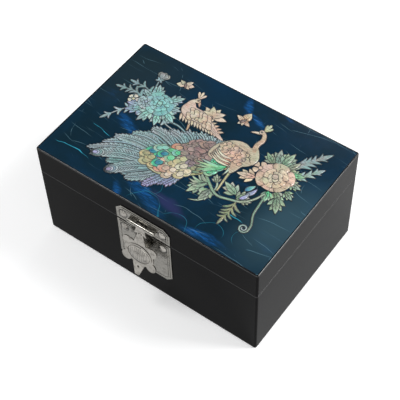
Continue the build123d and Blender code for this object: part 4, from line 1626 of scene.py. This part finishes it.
@dataclass
class TrainCovers:
    """The scaled plumage between the peacock's body and its tail feathers."""

    outline: tuple = (
        (-17.9, -4.8), (-23, -11), (-33.5, -20.4), (-38.6, -28), (-37.2, -35), (-28.3, -39.6), (-16, -41.5),
        (-8, -40), (-1.3, -36.5), (10, -28.5), (20.6, -18.8), (30, -7.5), (34.4, -0.2), (12, 5), (9.2, 12),
        (1.9, 13.8), (-6.5, 8), (-12.7, 0.4),
    )
    hub: Point = (30.0, 12.0)
    rows: int = 15
    row_step: float = 5.6
    scale_size: Point = (10.0, 9.0)
    streaks: tuple = ((9, -6), (7, -10.5), (8, -15), (12, -18.5), (17, -18.5), (22, -13))
    regions: tuple = (
        ((2, 5), "plum", "mauve"), ((-6, -4), "mauve", "plum"), ((6, -9), "plum", "lilac_grey"),
        ((12, -1), "mauve", "plum"), ((-15, -3), "rose", "blush"), ((-14, -13), "emerald", "moss_pale"),
        ((-25, -13), "teal", "moss_pale"), ((-9, -12), "emerald", "teal"), ((-21, -22), "azure", "emerald"),
        ((-34, -27), "olive", "straw"), ((-31, -36), "straw", "olive"), ((-22, -32), "olive", "straw"),
        ((-17, -39), "straw", "cream"), ((-5, -20), "straw", "moss_pale"), ((-9, -28), "rose_pale", "blush"),
        ((0, -33), "cream", "rose"), ((7, -25), "cream", "straw"), ((14, -18), "olive", "moss"),
        ((22, -10), "emerald", "moss_pale"), ((29, -4), "emerald", "teal"),
    )

    def tones(self, place: Array) -> Tint:
        """Colours at root and end of a scale: those of the region whose middle is nearest."""
        middles = np.array([region[0] for region in self.regions], float)
        _, low, high = self.regions[int(np.argmin(np.linalg.norm(middles - place, axis=1)))]
        return getattr(TONES, low), getattr(TONES, high)

    def make(self, material: bpy.types.Material) -> None:
        """Cut rows of scales round the hub, from the outermost in, each row over the one outside it."""
        panel = ShellPanel("train_covers", "inlay_train_covers", seed=5, base=1.8)
        edge = smooth_line(self.outline, 90, closed=True)
        panel.plate(edge, TONES.olive, 0, centre=(-6, -16))
        shake = panel.random.uniform
        for row in range(self.rows, 1, -1):
            radius = row * self.row_step
            count = max(int(2 * pi * radius / (self.scale_size[1] * 0.86)), 6)
            level = 0.5 + 2.6 * (1 - row / self.rows)
            for number in range(count):
                angle = 360 * (number + 0.5 * (row % 2) + 0.18 * shake(-1, 1)) / count
                root = np.array(self.hub) + polar(radius - self.row_step + 1.2 * shake(-1, 1), angle)
                length, width = (side * (1 + 0.14 * shake(-1, 1)) for side in self.scale_size)
                if inside(edge, root + polar(0.5 * length, angle)):
                    low, high = self.tones(root + shake(-2.5, 2.5, 2))
                    height = level + 0.3 * (number % 2)
                    panel.blade(root, angle, length, width, (low, high), height, Form.SCALE, samples=9)
                    panel.blade(root, angle, 0.66 * length, 0.56 * width, (blend(low, high, 0.35), low),
                                height + 0.35, Form.SCALE, samples=9)
        for tip in self.streaks:
            bend = (25, -3.5 + 0.3 * tip[1])
            panel.strip([(33, -1.2), bend, tip], 3.2, (TONES.emerald, TONES.moss_pale), 3.4, spread=0.3)
        panel.build(material)


@dataclass
class Peacock:
    """The standing peacock in rose shell: body, neck, crest, wing and leg."""

    body: tuple = (
        (38.8, 29), (33.3, 30.6), (27, 30.2), (20.5, 27.2), (15, 21.6), (10.8, 14.6), (9.6, 6.3), (12.5, 0.6),
        (22.5, 0.4), (31, 1.4), (35, 0.2), (38.4, -5.2), (41.6, -1.2), (43.6, 6.4), (47, 9.4), (50.9, 14.7),
        (51.8, 20.5), (49.2, 26.3), (45, 31.3), (42, 33),
    )
    neck: tuple = ((43.4, 26), (41.2, 35), (42.6, 42), (40.6, 47.6), (37.4, 50.2))
    beak: tuple = ((38.2, 47.8), (33, 47), (28, 44.8))
    crest: tuple = (((39.3, 61.6), 3.2), ((36.4, 59.8), 2.6), ((42.6, 58.4), 2.8))
    crest_root: Point = (37.8, 50.6)
    eye: Point = (36.5, 49.7)
    leg: tuple = ((38.6, -3.5), (39.5, -14), (41, -27))
    thigh: tuple = ((35.5, 0.5), (36, -5), (35.2, -10))
    wing: tuple = ((31, 11.2), (23, 9.8), (14.2, 14))
    wing_step: tuple = ((0.8, -2.1), (0, -1.95), (-0.3, -2.1))
    fold: tuple = ((37.5, 25), (41, 21), (45.5, 19.4))
    fold_step: tuple = ((2.6, -2.6), (2.6, -2.6), (1.56, -2.6))
    scales: ScaleRows = ScaleRows(
        counts=(7, 6, 7, 6, 7), first=(17.5, 24.6), along=(4.1, -0.5), down=(0, -3), stagger=2,
        probes=((0, 0), (5.5, 215)), turn=222, size=(4.6, 4.2), tint=ROSE, fourth=TONES.plum,
        level=1.7, lift=0.25,
    )

    def make(self, material: bpy.types.Material) -> None:
        """Cut the bird."""
        panel = ShellPanel("peacock", "inlay_peacock", seed=11, base=4.2)
        panel.strip(self.leg, 2.0, plain(TONES.straw), 0, Form.STEM)
        panel.strip(self.thigh, 1.8, plain(TONES.moss_pale), 0, Form.BARB)
        for tip, width in self.crest:
            panel.strip([self.crest_root, tip], width, (TONES.straw, TONES.moss_pale), 0.8, Form.PETAL)
        panel.strip(self.beak, 2.3, plain(TONES.cream), 0.8)
        body = smooth_line(self.body, 90, closed=True)
        panel.plate(body, TONES.rose, 1, edge=TONES.rose_pale, centre=(30, 14))
        panel.strip(self.neck, 5.0, ROSE, 1, Form.STEM, samples=16)
        angles = np.arange(0, 360, 24)
        panel.plate(np.array(self.eye) + polar(2.3, angles), TONES.rose_pale, 1)
        panel.plate(np.array(self.eye) + (-0.2, 0.1) + polar(0.55, angles), TONES.plum, 2)
        self.scales.cut(panel, body)
        for number, line in enumerate(march(self.wing, self.wing_step, 6)):
            tone = TONES.cream if number % 2 else TONES.blush
            panel.strip(line, 2.1, (tone, TONES.cream), 1.8 + 0.3 * (number % 2), samples=14)
        for fold in march(self.fold, self.fold_step, 3):
            panel.groove(fold, 1)
        panel.build(material)


@dataclass
class Peahen:
    """The crouching peahen in rose shell."""

    body: tuple = (
        (-34, 44.5), (-29.5, 40.5), (-22, 40), (-14.5, 37.6), (-5, 32.6), (4, 27), (12.6, 22.4), (9.5, 21.4),
        (0, 24), (-9, 25.8), (-18, 26.2), (-27, 25.8), (-34, 26.4), (-39.6, 30.6), (-41, 36), (-38.6, 42),
    )
    neck: tuple = ((-37, 36), (-37.6, 43), (-33.6, 48.4))
    beak: tuple = ((-33, 48.6), (-30, 45.6), (-27.8, 42.2))
    crest_root: Point = (-33.6, 49.5)
    crest: tuple = ((-38.2, 57.6), (-34.6, 59.4), (-30.4, 57.4))
    leg: tuple = ((-24, 21.5), (-22, 17), (-21.2, 13.6))
    head: Point = (-33.4, 47.8)
    eye: Point = (-32.8, 48.2)
    fringes: tuple = (
        ((-37, 28.6, 292, 9.4), (3.1, -0.2, 1.6, -0.25), 14, 2.5, (TONES.rose, TONES.cream)),
        ((-14.5, 34, 62, 6.4), (3.4, -1.5, -6, 0), 6, 2.6, ROSE),
    )
    fold: tuple = ((-14, 33.5), (-2, 28.4), (8, 24.4))
    fold_step: tuple = ((1, -3), (0, -1.7), (-1, -0.6))
    scales: ScaleRows = ScaleRows(
        counts=(6, 6, 6, 6), first=(-33, 37.6), along=(4.4, 0), down=(0, -3.3), stagger=2.2,
        probes=((4.6, -22),), turn=-24, size=(6, 4.4), tint=(TONES.cream, TONES.rose),
        fourth=TONES.cream, level=2, lift=0.3,
    )

    def make(self, material: bpy.types.Material) -> None:
        """Cut the bird."""
        panel = ShellPanel("peahen", "inlay_peahen", seed=13, base=2.4)
        panel.strip(self.leg, 2.0, plain(TONES.rose), 0, Form.STEM)
        for tip in self.crest:
            panel.strip([self.crest_root, tip], 2.8, (TONES.rose_pale, TONES.cream), 0.8, Form.PETAL)
        panel.strip(self.beak, 2.2, plain(TONES.rose), 0.8)
        for first, step, count, width, tint in self.fringes:
            for number, (x, y, turn, length) in enumerate(march(first, step, count)):
                panel.blade((x, y), turn, length, width, tint, 0.5 * (number % 2), samples=9)
        body = smooth_line(self.body, 90, closed=True)
        panel.plate(body, TONES.cream, 1.3, edge=TONES.rose_pale, centre=(-24, 33))
        panel.strip(self.neck, 5.2, (TONES.rose_pale, TONES.cream), 1.3, Form.STEM)
        panel.plate(np.array(self.head) + polar(2.6, np.arange(0, 360, 24)), TONES.rose_pale, 1.3)
        panel.plate(np.array(self.eye) + polar(0.6, np.arange(0, 360, 36)), TONES.plum, 2.2)
        self.scales.cut(panel, body)
        for fold in march(self.fold, self.fold_step, 3):
            panel.groove(fold, 1.3, 0.35, 12)
        panel.build(material)


@dataclass
class Blooms:
    """The two great peonies, each with a smaller flower beside it."""

    left: tuple = (
        ((-60, 24.5), 14, (TONES.teal, TONES.teal_pale), 1.6, 10),
        ((-71.5, 19.5), 8, (TONES.teal_pale, TONES.sea_pale), 1.1, 40),
    )
    right: tuple = ((75, 13), 16.5, ROSE, 1.6, 34)
    small: tuple = ((58, 15.5), 7.2, 5, ROSE, 1)

    def make(self, material: bpy.types.Material) -> None:
        """Cut both."""
        left = ShellPanel("peony_left", "inlay_peony_left", seed=17)
        for peony in self.left:
            Foliage(left).peony(*peony)
        left.build(material)
        right = ShellPanel("peony_right", "inlay_peony_right", seed=19)
        Foliage(right).peony(*self.right)
        Foliage(right).blossom(*self.small)
        right.build(material)


@dataclass
class LeafWork:
    """The foliage round both peonies: leaves as root, direction and length, and sprigs."""

    left_leaves: tuple = (
        ((-70, 14), 222, 18), ((-62, 14), 256, 17), ((-55, 16), 292, 16), ((-73, 14), 196, 14),
        ((-54, 33), 48, 14), ((-51, 26), 10, 13), ((-68, 33), 118, 13), ((-50, 20), -26, 15),
        ((-71, 27), 158, 13),
    )
    lilac_leaves: tuple = (0, 3)
    left_sprigs: tuple = (
        (((-74, 21), (-87, 25), (-99, 23)), (9.4, 2.2), 4, (TONES.sea_dark, TONES.sea_grey)),
        (((-70, 28), (-82, 34), (-92, 34)), (9, 2.2), 3, (TONES.sea_dark, TONES.sea_grey)),
        (((-74, 10), (-84, 2), (-91, -11)), (9, 2.2), 3, SEA, 0, 40),
    )
    small: tuple = ((-84, 16.5), 5.4, 5, (TONES.sea_pale, TONES.cream), 0.5)
    bud_stem: tuple = ((-71, 28), (-74.5, 36), (-77.8, 47))
    bud_root: Point = (-78, 48.5)
    bud: Point = (-78, 49)
    bud_turns: tuple = (62, 118, 90, 76, 104)
    bud_leaves: tuple = (150, 30, 215, 325)
    twig: tuple = ((-52, 14), (-42, 13), (-31, 13.5), (-21, 11))
    twig_sprig: tuple = (((-48, 13), (-41, 8.5), (-33, 7)), (6, 2.2), 1, SEA)
    right_leaves: tuple = (
        ((68, 27), 110, 17), ((72, 29), 80, 17), ((64, 26), 145, 13), ((78, 27), 62, 14),
        ((84, 24), 20, 13), ((88, 16), -6, 12), ((83, 1), -40, 14), ((88, -4), -62, 17),
        ((78, -2), -75, 12), ((90, 6), -28, 11),
    )
    emerald_leaves: tuple = (4, 8)
    plumes: tuple = (
        (((78, 29), (86, 39), (94, 51)), (15.5, 4), 4, (TONES.smoke, TONES.sea_grey), 0.2, 25, Form.LEAF),
        (((84, 20), (93, 28), (99, 36)), (11.5, 3.6), 3, (TONES.moss, TONES.sea_pale), 0, 27, Form.LEAF),
    )
    stray: tuple = ((60, 4), 195, 17, (TONES.rose, TONES.cream))

    def left(self) -> ShellPanel:
        """Cut the left side: leaves, three sprigs, a flower, a bud on its stem and two twigs."""
        panel = ShellPanel("foliage_left", "inlay_foliage_left", seed=23)
        work = Foliage(panel)
        for number, (root, turn, length) in enumerate(self.left_leaves):
            tip = TONES.lilac if number in self.lilac_leaves else TONES.sea_pale
            work.leaf(root, turn, length, (TONES.teal, tip), 0.5 * (number % 2))
        for sprig in self.left_sprigs:
            work.sprig(*sprig)
        work.blossom(*self.small)
        grey, dark = plain(TONES.sea_grey), (TONES.sea_dark, TONES.smoke)
        panel.strip(self.bud_stem, 1.5, grey, 0, Form.STEM)
        for number, turn in enumerate(self.bud_turns):
            end = np.array(self.bud) + polar(10.2 - 0.8 * (number > 2), turn)
            panel.strip([self.bud_root, end], 6.2, dark, 0.4 + 0.4 * number, Form.PETAL)
        for turn in self.bud_leaves:
            panel.blade(self.bud, turn, 4.2, 1.9, grey, 2.6)
        panel.strip(self.twig, 1.7, grey, 0, Form.STEM, samples=16)
        work.sprig(*self.twig_sprig)
        return panel

    def right(self) -> ShellPanel:
        """Cut the right side: leaves, two plumes and the rose-coloured leaf towards the bird."""
        panel = ShellPanel("foliage_right", "inlay_foliage_right", seed=29)
        work = Foliage(panel)
        for number, (root, turn, length) in enumerate(self.right_leaves):
            low = TONES.emerald if number in self.emerald_leaves else TONES.moss
            work.leaf(root, turn, length, (low, TONES.moss_pale), 0.5 * (number % 2))
        for plume in self.plumes:
            work.sprig(*plume)
        work.leaf(*self.stray)
        return panel

    def make(self, material: bpy.types.Material) -> None:
        """Cut both sides."""
        for panel in (self.left(), self.right()):
            panel.build(material)


@dataclass
class Perch:
    """The branch the peacock stands on, with its hanging sprig and tendril."""

    branch: tuple = (
        (23, -18), (31, -24), (38, -28.8), (45, -31), (55, -28.6), (66, -24.5), (73, -16), (77, -6)
    )
    shoots: tuple = (
        (((41, -29.5), (38, -38), (33, -44.7), (26, -48)), 1.9, Form.BARB, 16),
        (((39.5, -29), (38, -22), (33.5, -17)), 1.8, Form.STEM, 11),
    )
    leaves: tuple = (
        ((27, -27), 244, 17), ((36, -29), 258, 15), ((35.5, -20), 120, 9), ((57, -21), 158, 17),
        ((60, -25), 60, 14), ((64, -24), 20, 9),
    )
    needles: tuple = ((168, 17), (182, 20), (196, 19), (210, 17), (150, 13), (226, 14))
    petals: tuple = (
        (((61, -13), (63, -9), (66, -4)), 4.4, (TONES.azure, TONES.teal), 1.4),
        (((64, -17), (67.5, -12), (69, -6)), 3.6, (TONES.sea_grey, TONES.lilac), 1.9),
        (((62, -23), (65, -19), (66, -14)), 3.6, (TONES.lilac, TONES.sea_pale), 2.2),
    )
    hanging: tuple = (((61, -25), (62.5, -36), (62, -45)), (10.5, 2.1), 4, (TONES.olive, TONES.moss), 0, 50)
    stalk: tuple = ((78, -6), (79.6, -18), (81.2, -30), (86, -40))
    curl_centre: Point = (82.4, -46.6)
    curl_radius: float = 4.6
    curl_turns: float = 1.6

    def make(self, material: bpy.types.Material) -> None:
        """Cut the branch; the tendril's curl is a spiral, radius = r (1 - 0.45 t) after t turns."""
        panel = ShellPanel("perch", "inlay_branch", seed=31)
        work = Foliage(panel)
        panel.strip(self.branch, 2.3, MOSS, 1, Form.STEM, samples=30)
        for points, width, form, samples in self.shoots:
            panel.strip(points, width, plain(TONES.moss_pale), 0, form, samples=samples)
        for root, turn, length in self.leaves:
            work.leaf(root, turn, length, MOSS, 0.5)
        for number, (turn, length) in enumerate(self.needles):
            root = np.array((33.5 - 0.8 * number, -24.5))
            middle = root + polar(0.55 * length, turn + 14)
            panel.strip([root, middle, root + polar(length, turn)], 3, MOSS, 0.2 + 0.2 * number)
        work.sprig(*self.hanging)
        for petal in self.petals:
            panel.strip(*petal)
        turns = np.linspace(0, self.curl_turns, 34)[::2]
        curl = np.array(self.curl_centre) + polar(self.curl_radius * (1 - 0.45 * turns), 20 - 360 * turns)
        panel.strip([*self.stalk, *curl], 1.5, (TONES.moss, TONES.sea_pale), 0.4, Form.STEM, samples=60)
        panel.build(material)


@dataclass
class SmallCuts:
    """The two butterflies and the single toothed leaf behind the peahen."""

    spread_wings: tuple = ((200, 8.6, 6), (158, 7.4, 3.6), (16, 8.4, 5.6), (58, 8, 4), (-28, 6, 3.2))
    upright_wings: tuple = ((84, 11, 8), (163, 9, 4.4), (-20, 8.4, 3.8), (-118, 6.4, 3.4), (-78, 5.6, 3))
    leaf_centre: Point = (-12.0, 40.0)
    leaf_lobes: tuple = ((8, 14.5), (42, 12.5), (78, 11), (116, 11.5), (150, 12), (178, 10.5))

    def butterfly(self, panel: ShellPanel, centre: Point, wings: tuple, body: float, colour: Colour) -> None:
        """Wings that overlap round a short body.

        Args:
            panel: The panel.
            centre: Its middle.
            wings: Direction in degrees, length and width of each wing.
            body: Direction of the body, in degrees.
            colour: Colour at the wings' roots.
        """
        middle = np.array(centre, float)
        for number, (angle, length, width) in enumerate(wings):
            height = 0.4 * number
            panel.blade(middle, angle, length, width, (colour, TONES.cream), height)
            for side in (-10, 10):
                panel.groove([middle, middle + polar(0.8 * length, angle + side)], height, 0.3)
        panel.blade(middle - polar(3.6, body), body, 6.6, 1.6, plain(TONES.plum), 2)

    def make(self, material: bpy.types.Material) -> None:
        """Cut them."""
        wings = ShellPanel("butterflies", "inlay_butterflies", seed=37)
        self.butterfly(wings, (-54.5, 57.5), self.spread_wings, 118, TONES.rose_pale)
        self.butterfly(wings, (15, 52), self.upright_wings, 60, TONES.blush)
        wings.build(material)
        single = ShellPanel("maple_leaf", "inlay_maple_leaf", seed=41)
        centre = np.array(self.leaf_centre)
        for number, (turn, reach) in enumerate(self.leaf_lobes):
            level = 0.5 * (number % 2)
            single.blade(centre, turn, reach, 6.2, (TONES.rose, TONES.cream), level)
            single.groove([centre, centre + polar(reach * 0.75, turn)], level, 0.22)
        single.build(material)


@dataclass
class InlaidTop:
    """The blue paper sheet and the shell figures on it."""

    paper: BlueFibrePaper = BlueFibrePaper()
    shell: MotherOfPearl = MotherOfPearl()

    def make(self) -> None:
        """Dress the sheet and cut the figures."""
        dress("blue_lacquer_sheet", self.paper.make())
        shell = self.shell.make()
        for figure in (TrainFeathers, TrainCovers, Peacock, Peahen, Blooms, LeafWork, Perch, SmallCuts):
            figure().make(shell)


def main() -> None:
    """Build the studio and dress the whole box."""
    logging.basicConfig(level=logging.INFO)
    Studio().make()
    LacquerCase().make()
    Lining().make()
    RingRolls().make()
    Ironwork().make()
    InlaidTop().make()


if __name__ == "__main__":
    main()
